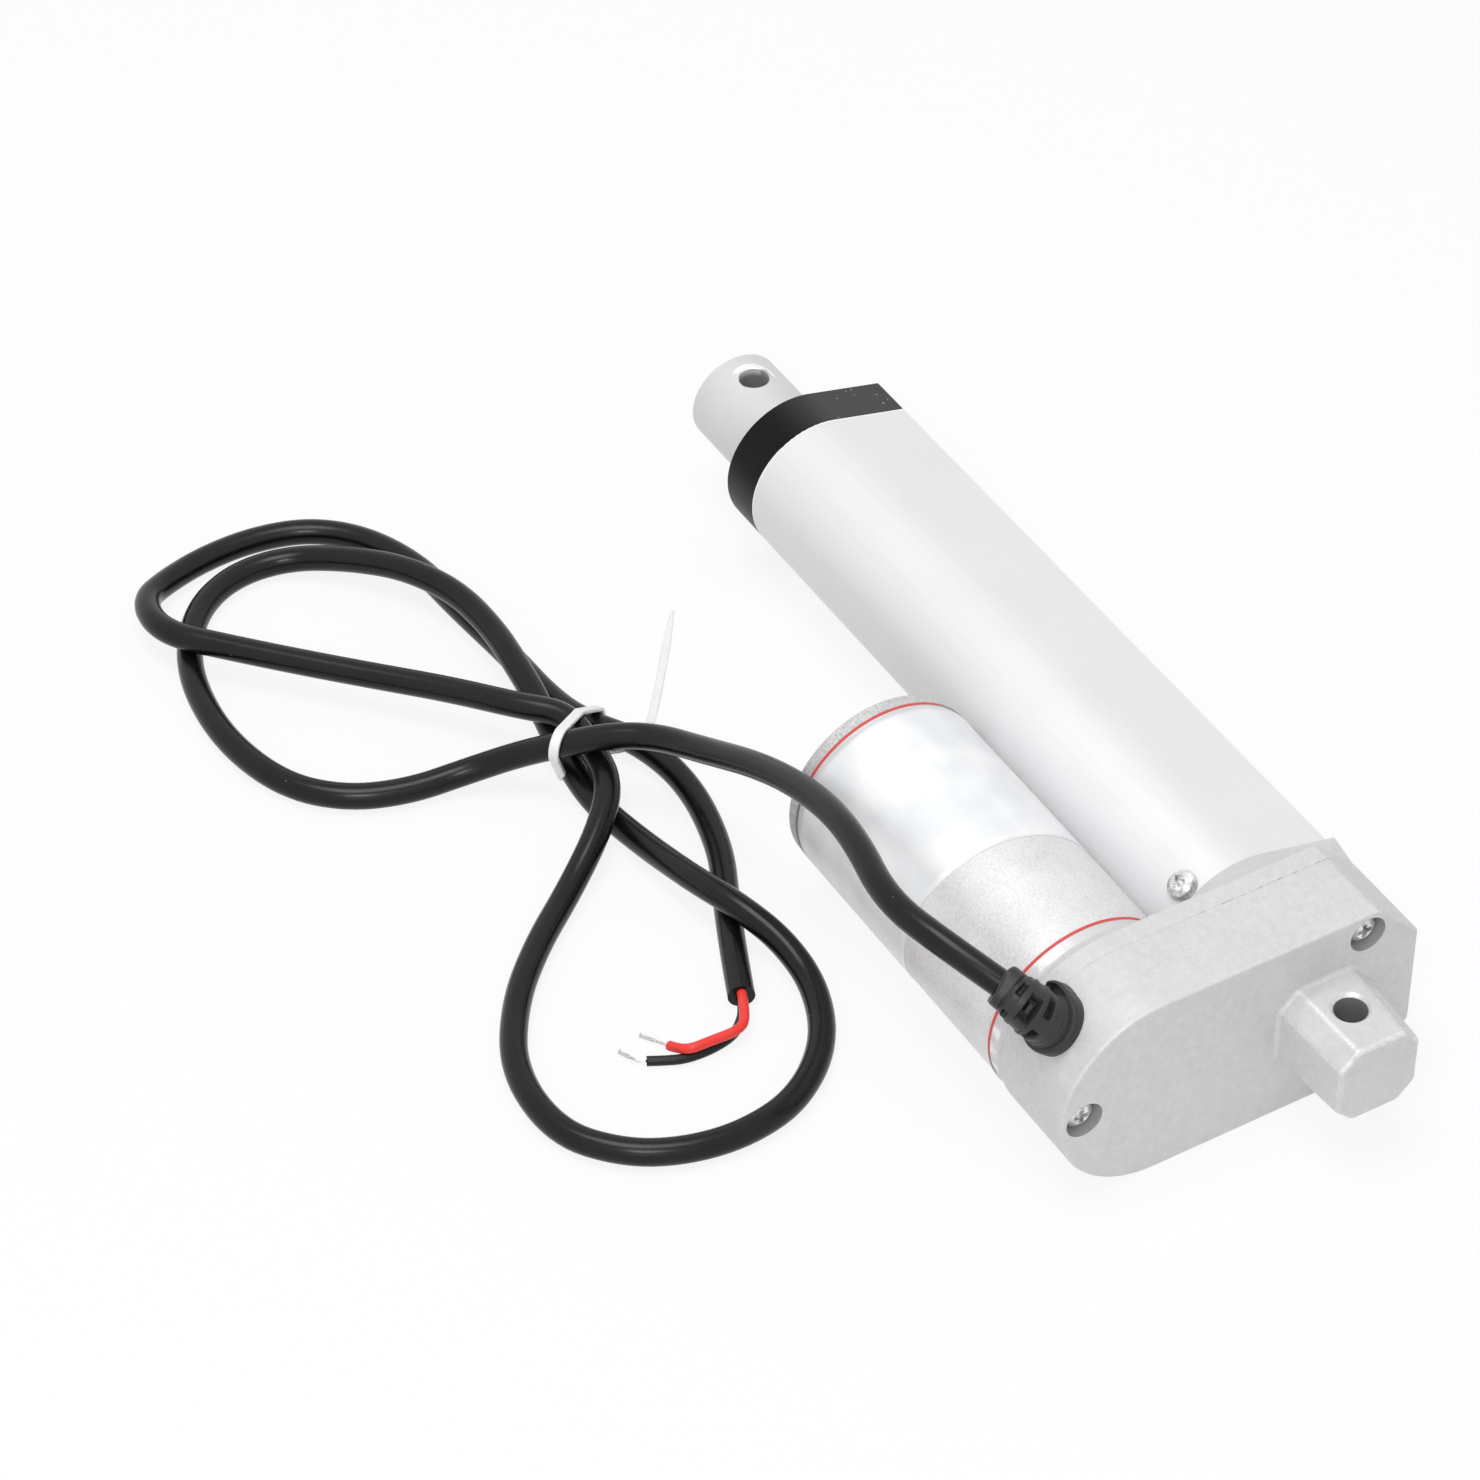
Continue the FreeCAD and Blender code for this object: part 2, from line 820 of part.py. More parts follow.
tube = body("outer_tube")
outline = sketch(tube, "YZ_Plane", d.tube_start)
teardrop(outline, d.tube_round, d.tube_flat, d.tube_lean)
block = pad(tube, outline, tube_end - d.tube_start)
round_edges(tube, block, lambda e: at_x(e, tube_end), d.tube_edge)
hollow = sketch(tube, "YZ_Plane", tube_end)
circle(hollow, ZERO, ZERO, d.tube_bore)
pocket(tube, hollow, tube_end - d.tube_start)
channel = sketch(tube, "YZ_Plane", tube_end)
polygon(
    channel,
    [
        (ZERO, d.channel_half),
        (-d.channel_floor, d.channel_half),
        (-d.channel_floor, -d.channel_half),
        (ZERO, -d.channel_half),
    ],
)
pocket(tube, channel, tube_end - d.tube_start)
ports = sketch(tube, "YZ_Plane", tube_end)
for side in (1, -1):
    circle(ports, -d.cap_screw_y, side * d.cap_screw_z, d.cap_screw_dia)
pocket(tube, ports, d.cap_screw_length)

tube_screws = []
for side in (1, -1):
    out = Vector(0, cos(d.tube_screw_angle).value, side * sin(d.tube_screw_angle).value)
    seat = Vector(d.tube_screw_x.value, 0, 0) + out * (d.tube_round - d.tube_screw_seat).value
    drill(tube, seat, out, d.tube_screw_head + 2 * d.screw_play, d.tube_screw_height + PAST)
    wall = d.tube_round - d.tube_bore / 2
    drill(tube, seat + out * PAST.value, -out, d.tube_screw_dia + d.screw_play, wall + 2 * PAST)
    drill(front, seat, -out, d.tube_screw_dia, d.tube_screw_length)
    made = pan_screw(
        f"tube_screw_{len(tube_screws)}",
        d.tube_screw_dia,
        d.tube_screw_length,
        d.tube_screw_head,
        d.tube_screw_height,
    )
    made.Placement = Placement(seat, Rotation(Vector(1, 0, 0), -out))
    tube_screws.append(made)
group("tube_screws", tube_screws)

cover_screws = []
for y, z in screw_seats:
    made = pan_screw(
        f"cover_screw_{len(cover_screws)}",
        d.screw_dia,
        d.casing_split + d.screw_bite - d.casing_rear - d.screw_sink,
        d.screw_head_dia,
        d.screw_head_height,
    )
    place(made, d.casing_rear + d.screw_sink, y, z)
    cover_screws.append(made)
group("cover_screws", cover_screws)

# Front cap with its guide bush and wiper

cap = body("front_cap")
outline = sketch(cap, "YZ_Plane", tube_end)
teardrop(outline, d.tube_round, d.tube_flat, d.tube_lean)
block = pad(cap, outline, d.cap_length)
round_edges(cap, block, lambda e: at_x(e, cap_front), d.cap_round)
spigot_rear = tube_end - d.cap_spigot
turn(
    cap,
    [
        (spigot_rear, ZERO),
        (tube_end + PAST, ZERO),
        (tube_end + PAST, spigot_dia / 2),
        (spigot_rear, spigot_dia / 2),
    ],
)
rod_radius = d.rod_dia / 2
rod_pass = rod_radius + d.slide_play
wiper_front = cap_front - d.cap_lip
wiper_rear = wiper_front - d.wiper_width
bush_outer = rod_pass + d.bush_wall
turn(
    cap,
    [
        (spigot_rear - PAST, ZERO),
        (spigot_rear - PAST, bush_outer),
        (wiper_rear, bush_outer),
        (wiper_rear, rod_pass + d.wiper_wall),
        (wiper_front, rod_pass + d.wiper_wall),
        (wiper_front, rod_radius + d.cap_lip_room),
        (cap_front + PAST, rod_radius + d.cap_lip_room),
        (cap_front + PAST, ZERO),
    ],
    cut=True,
)
cap_head = d.cap_screw_head / 2
cap_shank = d.cap_screw_dia / 2
cap_sunk = cap_front - d.cap_screw_sink
cap_screws = []
for side in (1, -1):
    made = body(f"cap_screw_{len(cap_screws)}")
    points = [
        (cap_sunk, ZERO),
        (cap_sunk, cap_head),
        (cap_sunk - cap_head + cap_shank, cap_shank),
        (tube_end - d.cap_screw_length, cap_shank),
        (tube_end - d.cap_screw_length, ZERO),
    ]
    turn(made, points)
    place(made, ZERO, -d.cap_screw_y, side * d.cap_screw_z)
    cap_screws.append(made)
    # the matching countersunk hole in the cap
    hole = sketch(cap, "XY_Plane", side * d.cap_screw_z)
    mouth = cap_head + d.cap_screw_sink + PAST
    polygon(
        hole,
        [
            (cap_front + PAST, -d.cap_screw_y),
            (cap_front + PAST, mouth - d.cap_screw_y),
            (cap_front + PAST - mouth + cap_shank, cap_shank - d.cap_screw_y),
            (tube_end - PAST, cap_shank - d.cap_screw_y),
            (tube_end - PAST, -d.cap_screw_y),
        ],
    )
    groove(cap, hole, (tube_end - PAST, -d.cap_screw_y), (cap_front + PAST, -d.cap_screw_y))
group("cap_screws", cap_screws)
ring("rod_guide_bush", spigot_rear, wiper_rear, 2 * rod_pass, 2 * bush_outer)
ring("rod_wiper", wiper_rear, wiper_front, 2 * rod_pass, 2 * (rod_pass + d.wiper_wall))

# Rod, its solid end and the drive nut


def cross_hole(owner):
    """The bore across the rod's end, bevelled where it meets the round surface."""
    hole = d.eye_bore / 2
    top = rod_radius - d.rod_hole_bevel
    outside = rod_radius + PAST
    wide = rod_eye + hole + d.rod_hole_bevel + PAST
    made = sketch(owner, "XZ_Plane")
    points = [
        (rod_eye, -outside),
        (wide, -outside),
        (rod_eye + hole, -top),
        (rod_eye + hole, top),
        (wide, outside),
        (rod_eye, outside),
    ]
    polygon(made, points)
    groove(owner, made, (rod_eye, -outside), (rod_eye, outside))


rod = body("extension_rod")
turn(
    rod,
    [
        (rod_rear, d.rod_bore / 2),
        (rod_end, d.rod_bore / 2),
        (rod_end, rod_radius - d.rod_edge),
        (rod_end - d.rod_edge, rod_radius),
        (rod_rear, rod_radius),
    ],
)
cross_hole(rod)
plug = body("rod_plug")
plug_rear = rod_end - d.plug_length
turn(
    plug,
    [
        (plug_rear, ZERO),
        (rod_end, ZERO),
        (rod_end, d.rod_bore / 2),
        (plug_rear, d.rod_bore / 2),
    ],
)
cross_hole(plug)

nut = body("drive_nut")
nut_front = rod_rear + d.nut_spigot
nut_radius = d.tube_bore / 2 - d.nut_play
thread_pass = d.screw_thread / 2 + d.slide_play
turn(
    nut,
    [
        (d.nut_rear, ZERO),
        (d.nut_rear, nut_radius),
        (rod_rear, nut_radius),
        (rod_rear, d.rod_bore / 2),
        (nut_front, d.rod_bore / 2),
        (nut_front, ZERO),
    ],
)
tab_rear = d.nut_rear + d.tab_edge
tab_front = rod_rear - d.tab_edge
tab = sketch(nut, "YZ_Plane", tab_rear)
polygon(
    tab,
    [
        (ZERO, d.tab_half),
        (-d.tab_depth, d.tab_half),
        (-d.tab_depth, -d.tab_half),
        (ZERO, -d.tab_half),
    ],
)
pad(nut, tab, tab_front - tab_rear)
turn(
    nut,
    [
        (d.nut_rear - PAST, ZERO),
        (d.nut_rear - PAST, thread_pass),
        (nut_front + PAST, thread_pass),
        (nut_front + PAST, ZERO),
    ],
    cut=True,
)

# Lead screw, bearing and gears

screw_tail = bush_floor + d.screw_tail_gap
screw_end = nut_front + d.stroke + d.screw_past_nut
gear_front = driven_rear + d.driven_width
turned(
    "lead_screw",
    [
        (screw_tail, ZERO),
        (screw_tail, d.gear_seat_dia / 2),
        (gear_front, d.gear_seat_dia / 2),
        (gear_front, d.journal_dia / 2),
        (bearing_front, d.journal_dia / 2),
        (bearing_front, d.screw_thread / 2),
        (screw_end - d.screw_chamfer, d.screw_thread / 2),
        (screw_end, d.screw_thread / 2 - d.screw_chamfer),
        (screw_end, ZERO),
    ],
)
ring(
    "rear_bush",
    bush_floor,
    bush_floor + d.rear_bush_length,
    d.gear_seat_dia + 2 * d.slide_play,
    d.rear_bush_dia,
)
inner_race = d.journal_dia + 2 * d.race_wall
outer_race = d.bearing_dia - 2 * d.race_wall
ring("bearing_inner_ring", d.bearing_rear, bearing_front, d.journal_dia, inner_race)
ring("bearing_outer_ring", d.bearing_rear, bearing_front, outer_race, d.bearing_dia)
ring(
    "bearing_circlip",
    bearing_front,
    bearing_front + d.ring_width,
    d.bearing_dia - 2 * d.ring_wall,
    d.bearing_dia,
)
ball_orbit = (inner_race + outer_race) / 4
balls = []
for i in range(BALL_COUNT):
    ball = doc.addObject("Part::Sphere", f"ball_{i}")
    ball.setExpression("Radius", (d.ball_dia / 2).text)
    angle = as_size(math.degrees(2 * math.pi * i / BALL_COUNT))
    place(
        ball,
        d.bearing_rear + d.bearing_width / 2,
        ball_orbit * cos(angle),
        ball_orbit * sin(angle),
    )
    balls.append(ball)
group("bearing_balls", balls)


def involute(angle):
    return math.tan(angle) - angle


def toothed(teeth, rear, width, first_tooth, addendum):
    """A spur gear about X with involute flanks, each flank one arc, and a little backlash."""
    module = gear_module.value
    pressure = math.radians(PRESSURE_ANGLE)
    pitch = module * teeth / 2
    base = pitch * math.cos(pressure)
    tip = pitch + addendum * module
    root = pitch - DEDENDUM * module
    backlash = BACKLASH * module

    def half_angle(radius):
        roll = math.acos(min(1.0, base / max(radius, base)))
        return (math.pi * module / 2 - backlash) / (2 * pitch) + involute(pressure) - involute(roll)

    def spot(radius, angle):
        return Vector(0, radius * math.cos(angle), radius * math.sin(angle))

    start = max(base, root)
    middle = (start + tip) / 2
    step = 2 * math.pi / teeth
    edges = []
    for i in range(teeth):
        centre = first_tooth + i * step
        low, mid, high = half_angle(start), half_angle(middle), half_angle(tip)
        after = centre + step
        if base > root + 1e-6:
            edges.append(Part.LineSegment(spot(root, centre - low), spot(start, centre - low)))
        edges.append(
            Part.Arc(spot(start, centre - low), spot(middle, centre - mid), spot(tip, centre - high))
        )
        edges.append(Part.Arc(spot(tip, centre - high), spot(tip, centre), spot(tip, centre + high)))
        edges.append(
            Part.Arc(spot(tip, centre + high), spot(middle, centre + mid), spot(start, centre + low))
        )
        if base > root + 1e-6:
            edges.append(Part.LineSegment(spot(start, centre + low), spot(root, centre + low)))
        edges.append(
            Part.Arc(
                spot(root, centre + low),
                spot(root, centre + step / 2),
                spot(root, after - low),
            )
        )
    wire = Part.Wire([edge.toShape() for edge in edges])
    blank = Part.Face(wire).extrude(Vector(width.value, 0, 0))
    blank.translate(Vector(rear.value, 0, 0))
    return blank


def bored(blank, diameter):
    box = blank.BoundBox
    start = Vector(box.XMin, 0, 0)
    return blank.cut(Part.makeCylinder(diameter.value / 2, box.XLength, start, Vector(1, 0, 0)))


def gear_piece(label, shape, axis_y):
    made = doc.addObject("Part::Feature", label)
    made.Shape = shape
    made.Placement = Placement(Vector(0, axis_y.value, 0), Rotation())
    return made


driven = toothed(
    DRIVEN_TOOTH_COUNT, driven_rear, d.driven_width, math.pi / DRIVEN_TOOTH_COUNT, STUB_ADDENDUM
)
gear_piece("driven_gear", bored(driven, d.gear_seat_dia), ZERO)
small = toothed(IDLER_PINION_TOOTH_COUNT, idler_rear, wheel_rear - idler_rear, 0.0, FULL_ADDENDUM)
large = toothed(IDLER_TOOTH_COUNT, wheel_rear, d.idler_width, math.pi / IDLER_TOOTH_COUNT, STUB_ADDENDUM)
idler = small.fuse(large).removeSplitter()
gear_piece("idler_gear", bored(idler, d.axle_dia + 2 * d.slide_play), idler_y)
pinion = toothed(PINION_TOOTH_COUNT, wheel_rear, d.idler_width, math.pi, FULL_ADDENDUM)
gear_piece("motor_pinion", bored(pinion, d.shaft_dia), motor_offset)
axle = doc.addObject("Part::Cylinder", "idler_axle")
axle.setExpression("Radius", (d.axle_dia / 2).text)
axle.setExpression("Height", (axle_end - axle_floor).text)
axle.Placement = Placement(Vector(0, 0, 0), Rotation(Vector(0, 0, 1), Vector(1, 0, 0)))
place(axle, axle_floor, idler_y, ZERO)

# Motor

gasket_dia = d.can_dia + 2 * d.gasket_proud
ring("front_gasket", d.boss_front, can_start, 2 * can_inner, gasket_dia, motor_offset)
ring("motor_can", can_start, can_end, 2 * can_inner, d.can_dia, motor_offset)
ring("rear_gasket", can_end, end_cap_start, 2 * can_inner, gasket_dia, motor_offset)
end_cap = body("motor_end_cap")
rear_bush_start = end_cap_start + d.end_cap_thickness / 3 - d.shaft_bush_length / 2
spigot_root = end_cap_start + d.end_cap_thickness / 5
spigot_end = can_end - d.end_cap_spigot
spigot_inner = can_inner - d.end_cap_spigot_wall
block = turn(
    end_cap,
    [
        (end_cap_start, ZERO),
        (end_cap_face, ZERO),
        (end_cap_face, can_radius),
        (end_cap_start, can_radius),
    ],
    motor_offset,
)
round_edges(end_cap, block, lambda e: at_x(e, end_cap_face), d.end_cap_round)
turn(
    end_cap,
    [
        (spigot_root, spigot_inner),
        (spigot_root, can_inner - d.seat_gap),
        (spigot_end, can_inner - d.seat_gap),
        (spigot_end, spigot_inner),
    ],
    motor_offset,
)
turn(
    end_cap,
    [
        (rear_bush_start, ZERO),
        (spigot_root, ZERO),
        (spigot_root, d.shaft_bush_dia / 2 + d.end_cap_bush_wall),
        (rear_bush_start, d.shaft_bush_dia / 2 + d.end_cap_bush_wall),
    ],
    motor_offset,
)
rear_bush_end = rear_bush_start + d.shaft_bush_length / 2
turn(
    end_cap,
    [
        (rear_bush_start - PAST, ZERO),
        (rear_bush_end, ZERO),
        (rear_bush_end, d.shaft_bush_dia / 2),
        (rear_bush_start - PAST, d.shaft_bush_dia / 2),
    ],
    motor_offset,
    cut=True,
)
bolt_pass = sketch(end_cap, "YZ_Plane", end_cap_face)
for y in bolt_seats:
    circle(bolt_pass, y, ZERO, d.bolt_dia + d.screw_play)
pocket(end_cap, bolt_pass, end_cap_face - spigot_end + PAST)
shaft_pass = d.shaft_dia + 2 * d.slide_play
ring("shaft_bush_front", shaft_bush_rear, shaft_bush_front, shaft_pass, d.shaft_bush_dia, motor_offset)
ring("shaft_bush_rear", rear_bush_start, rear_bush_end, shaft_pass, d.shaft_bush_dia, motor_offset)
shaft_start = wheel_rear - d.shaft_lead
shaft_end = rear_bush_end - d.shaft_end_play
turned(
    "motor_shaft",
    [
        (shaft_start, ZERO),
        (shaft_end, ZERO),
        (shaft_end, d.shaft_dia / 2),
        (shaft_start, d.shaft_dia / 2),
    ],
    motor_offset,
)
commutator_start = can_end - d.commutator_setback
commutator_end = commutator_start + d.commutator_length
core_end = commutator_start - d.commutator_gap
core_start = core_end - d.core_length
core_radius = can_inner - d.magnet_thickness - d.magnet_gap
ring("armature_core", core_start, core_end, d.shaft_dia, 2 * core_radius, motor_offset)
windings = []
for start, end in (
    (core_start - d.winding_length, core_start),
    (core_end, core_end + d.winding_length),
):
    inner = d.shaft_dia / 2 + d.winding_liner
    outer = core_radius - d.winding_inset
    points = [
        (start, inner + d.winding_round),
        (start, outer - d.winding_round),
        (start + d.winding_round, outer),
        (end - d.winding_round, outer),
        (end, outer - d.winding_round),
        (end, inner),
        (start + d.winding_round, inner),
    ]
    windings.append(turned(f"winding_{len(windings)}", points, motor_offset))
group("armature_windings", windings)
ring("commutator", commutator_start, commutator_end, d.shaft_dia, d.commutator_dia, motor_offset)
magnet_overhang = (d.magnet_length - d.core_length) / 2
magnet_start = core_start - magnet_overhang
magnet_end = core_end + magnet_overhang
magnets = []
for side in (1, -1):
    made = body(f"magnet_{len(magnets)}")
    inner = can_inner - d.magnet_thickness
    points = [
        (magnet_start, side * inner),
        (magnet_end, side * inner),
        (magnet_end, side * can_inner),
        (magnet_start, side * can_inner),
    ]
    turn(made, points, motor_offset, angle=d.magnet_span)
    magnets.append(made)
group("magnets", magnets)
brush_inner = d.commutator_dia / 2 + d.slide_play
brush_start = commutator_start + d.brush_inset
plate_start = brush_start + d.brush_width
ring(
    "brush_plate",
    plate_start,
    plate_start + d.brush_plate_thickness,
    d.commutator_dia + 2 * d.brush_plate_room,
    2 * bolt_offset - d.bolt_dia - 2 * d.brush_plate_gap,
    motor_offset,
)
brushes = []
for side in (1, -1):
    made = doc.addObject("Part::Box", f"brush_{len(brushes)}")
    made.setExpression("Length", d.brush_width.text)
    made.setExpression("Width", d.brush_width.text)
    made.setExpression("Height", d.brush_length.text)
    low = brush_inner if side > 0 else -brush_inner - d.brush_length
    place(made, brush_start, motor_offset - d.brush_width / 2, low)
    brushes.append(made)
group("carbon_brushes", brushes)
tie_bolts = []
for y in bolt_seats:
    radius = d.bolt_dia / 2
    head = d.bolt_head_dia / 2
    tip = shaft_bush_front - d.bolt_bite
    points = [(tip, ZERO), (end_cap_face + d.bolt_head_height, ZERO)]
    points += [(end_cap_face + d.bolt_head_height * up, head * out) for up, out in HEAD_DOME]
    points += [(end_cap_face, head), (end_cap_face, radius), (tip, radius)]
    tie_bolts.append(turned(f"tie_bolt_{len(tie_bolts)}", points, y))
group("tie_bolts", tie_bolts)

# Limit switches in the channel beside the nut

board = doc.addObject("Part::Box", "switch_board")
board_top = -d.channel_floor + d.board_thickness
board.setExpression("Length", (tube_end - d.tube_start - 2 * d.board_end_gap).text)
board.setExpression("Width", d.board_thickness.text)
board.setExpression("Height", (2 * d.channel_half).text)
place(board, d.tube_start + d.board_end_gap, -d.channel_floor, -d.channel_half)
plunger_y = board_top + d.switch_height / 2
for label, face, side in (
    ("retract", tab_rear - d.plunger_gap - d.plunger_reach, -1),
    ("extend", tab_front + d.stroke + d.plunger_gap + d.plunger_reach, 1),
):
    made = body(f"{label}_switch")
    far = face + side * d.switch_length
    start = face if side > 0 else far
    case = sketch(made, "YZ_Plane", start)
    polygon(
        case,
        [
            (board_top, d.switch_half),
            (board_top, -d.switch_half),
            (board_top + d.switch_height, -d.switch_half),
            (board_top + d.switch_height, d.switch_half),
        ],
    )
    pad(made, case, d.switch_length)
    hole = d.plunger_dia / 2 + d.slide_play
    depth = side * (d.plunger_inside + d.plunger_travel)
    turn(
        made,
        [
            (face - side * PAST, ZERO),
            (face - side * PAST, hole),
            (face + depth, hole),
            (face + depth, ZERO),
        ],
        plunger_y,
        cut=True,
    )
    tip = face - side * d.plunger_reach
    turned(
        f"{label}_plunger",
        [
            (tip, ZERO),
            (tip, d.plunger_dia / 2),
            (face + side * d.plunger_inside, d.plunger_dia / 2),
            (face + side * d.plunger_inside, ZERO),
        ],
        plunger_y,
    )

# Cord gland: a flange on the round end, an elbow with ribs and a nozzle


def gland_frame(angle):
    """The place and direction of the elbow's centre line after it has turned by angle degrees."""
    bend = d.gland_bend.value
    start = gland_axis + gland_out * (casing_half + d.gland_flange).value
    along = Vector(1, 0, 0)
    turned_by = math.radians(angle)
    spot = start + along * (bend * (1 - math.cos(turned_by))) + gland_out * (bend * math.sin(turned_by))
    return spot, along * math.sin(turned_by) + gland_out * math.cos(turned_by)


def disc(label, diameter, length, start, direction):
    made = doc.addObject("Part::Cylinder", label)
    made.setExpression("Radius", (diameter / 2).text)
    made.setExpression("Height", length.text)
    made.Placement = Placement(start, Rotation(Vector(0, 0, 1), direction))
    return made


flange = disc(
    "gland_flange",
    d.gland_flange_dia,
    d.gland_flange + d.gland_sink,
    gland_axis + gland_out * (casing_half - d.gland_sink).value,
    gland_out,
)
elbow = doc.addObject("Part::Torus", "gland_elbow")
elbow.setExpression("Radius1", d.gland_bend.text)
elbow.setExpression("Radius2", (d.gland_body_dia / 2).text)
elbow.setExpression("Angle3", d.gland_turn.text)
elbow_start, _ = gland_frame(0)
across = Vector(-1, 0, 0).cross(gland_out)
centre = elbow_start + Vector(1, 0, 0) * d.gland_bend.value
axes = Matrix(
    -1, 0, across.x, centre.x,
    0, gland_out.y, across.y, centre.y,
    0, gland_out.z, across.z, centre.z,
    0, 0, 0, 1,
)
elbow.Placement = Placement(axes)
gland_pieces = [flange, elbow]
turn_end = d.gland_turn.value
for share in RIB_SHARES:
    spot, way = gland_frame(turn_end * share)
    rib_dia = d.gland_rib_dia - d.gland_rib_taper * share
    rib_start = spot - way * (d.gland_rib / 2).value
    gland_pieces.append(disc("gland_rib", rib_dia, d.gland_rib, rib_start, way))
spot, way = gland_frame(turn_end)
gland_pieces.append(disc("gland_ring", d.gland_ring_dia, d.gland_nozzle, spot, way))
gland_tip = spot + way * d.gland_nozzle.value
gland_blank = doc.addObject("Part::MultiFuse", "gland_blank")
gland_blank.Shapes = gland_pieces
end_round = doc.addObject("Part::Cylinder", "gland_seat")
end_round.setExpression("Radius", casing_half.text)
end_round.setExpression("Height", (2 * d.gland_flange_dia).text)
end_round.Placement = Placement(Vector(0, 0, 0), Rotation(Vector(0, 0, 1), Vector(1, 0, 0)))
place(end_round, d.gland_x - d.gland_flange_dia, casing_end_y, ZERO)
gland = doc.addObject("Part::Cut", "cord_gland")
gland.Base = gland_blank
gland.Tool = end_round

# Cord: from the gland over the motor's side to the floor, then its tied loops

CORD_ROUTE = [
    (51.2, 64.3, 24.6), (69.3, 59.9, 23.0), (86.1, 57.4, 18.0), (105.6, 56.8, 9.5), (124.5, 59.2, 0.0),
    (135.6, 62.6, -3.8), (141.3, 69.2, -4.9), (146.2, 76.2, -7.6), (152.7, 82.9, -12.2),
    (158.0, 91.3, -16.8), (159.7, 103.3, -18.0), (164.1, 114.8, -18.0), (173.7, 123.4, -18.0),
    (190.5, 127.3, -18.0), (208.3, 125.6, -18.0), (220.9, 120.3, -18.0), (229.6, 112.8, -18.0),
    (233.9, 102.8, -18.0), (232.2, 91.8, -17.4), (223.5, 82.8, -15.2), (213.3, 75.7, -13.2),
    (201.4, 70.7, -12.8), (187.9, 69.7, -12.9), (176.7, 71.3, -13.0), (167.1, 72.4, -14.9),
    (152.6, 75.3, -16.4), (138.6, 76.3, -17.3), (125.1, 72.6, -17.6), (106.9, 71.3, -13.2),
    (96.2, 68.1, -12.6), (86.3, 64.2, -15.4), (74.8, 64.0, -18.0), (61.7, 70.1, -18.0),
    (52.4, 81.4, -18.0), (49.9, 93.7, -18.0), (51.7, 105.1, -18.0), (56.9, 114.8, -18.0),
    (67.4, 122.7, -18.0), (84.8, 122.1, -18.0), (99.7, 113.4, -18.0), (110.6, 102.8, -18.0),
    (119.9, 90.8, -17.6), (127.6, 79.7, -13.2), (135.9, 72.7, -11.3), (145.7, 70.8, -11.5),
    (156.1, 70.7, -10.4), (163.5, 76.9, -10.4), (175.6, 85.7, -11.8), (187.3, 96.2, -12.6),
    (198.6, 107.0, -12.8), (209.5, 116.8, -12.9), (219.8, 126.0, -12.8), (233.0, 124.4, -15.4),
    (238.7, 116.3, -17.6), (241.5, 106.2, -18.0), (241.7, 95.0, -18.0), (238.5, 84.1, -18.0),
    (230.2, 75.8, -18.0), (216.9, 70.7, -18.0), (201.7, 70.1, -18.0), (185.8, 68.4, -18.0),
    (170.1, 67.4, -18.0), (160.7, 63.7, -16.6), (148.4, 58.8, -16.4), (134.0, 56.5, -17.6),
    (116.1, 60.1, -18.0), (103.0, 66.6, -18.0), (89.4, 72.9, -18.0), (80.7, 76.6, -18.0),
]
RED_ROUTE = [
    (80.6, 76.6, -17.0), (74.6, 79.1, -17.1), (71.8, 82.0, -17.3), (72.3, 88.1, -17.4), (73.0, 91.6, -17.3),
    (75.2, 93.3, -18.7), (77.0, 93.9, -19.3),
]
BLACK_ROUTE = [
    (80.6, 76.6, -19.0), (77.8, 77.8, -19.1), (75.4, 79.9, -19.3), (73.3, 82.7, -19.5), (72.4, 88.0, -19.5),
    (72.8, 93.0, -19.5), (74.3, 96.4, -19.5), (75.9, 99.3, -19.5),
]
STRAND_ROUTES = [
    [(77.0, 93.9, -19.3), (78.1, 94.3, -19.7), (80.2, 95.4, -19.9), (82.7, 96.8, -20.0)],
    [(75.9, 99.3, -19.5), (76.6, 100.6, -19.5), (78.6, 101.4, -19.7), (80.9, 102.2, -19.8)],
]


def round_path(points):
    """Straight runs joined by tangent arcs, each as large as its two runs allow."""
    points = [Vector(*p) for p in points]
    edges = []
    radii = []
    last = points[0]
    for before, here, after in zip(points, points[1:], points[2:]):
        back = before - here
        ahead = after - here
        reach = ARC_SHARE * min(back.Length, ahead.Length)
        back.normalize()
        ahead.normalize()
        turning = math.pi - back.getAngle(ahead)
        radius = reach / math.tan(turning / 2)
        radii.append(radius)
        start = here + back * reach
        end = here + ahead * reach
        inward = back + ahead
        inward.normalize()
        middle = here + inward * (math.hypot(radius, reach) - radius)
        edges.append(Part.LineSegment(last, start).toShape())
        edges.append(Part.Arc(start, middle, end).toShape())
        last = end
    edges.append(Part.LineSegment(last, points[-1]).toShape())
    return Part.Wire(edges), radii


def flexible(label, points, diameter):
    """A round tube along a path of straight runs and arcs."""
    path, radii = round_path(points)
    way = Vector(*points[1]) - Vector(*points[0])
    section = Part.Wire(Part.Circle(Vector(*points[0]), way, diameter.value / 2).toShape())
    made = doc.addObject("Part::Feature", label)
    made.Shape = path.makePipeShell([section], True, False)
    expected = math.pi * diameter.value ** 2 / 4 * path.Length
    share = made.Shape.Volume / expected
    print(f"{label}: length {path.Length:.1f}, volume over section times length {share:.4f}")
    print("  radii", " ".join(f"{r:.0f}" for r in radii))
    return made


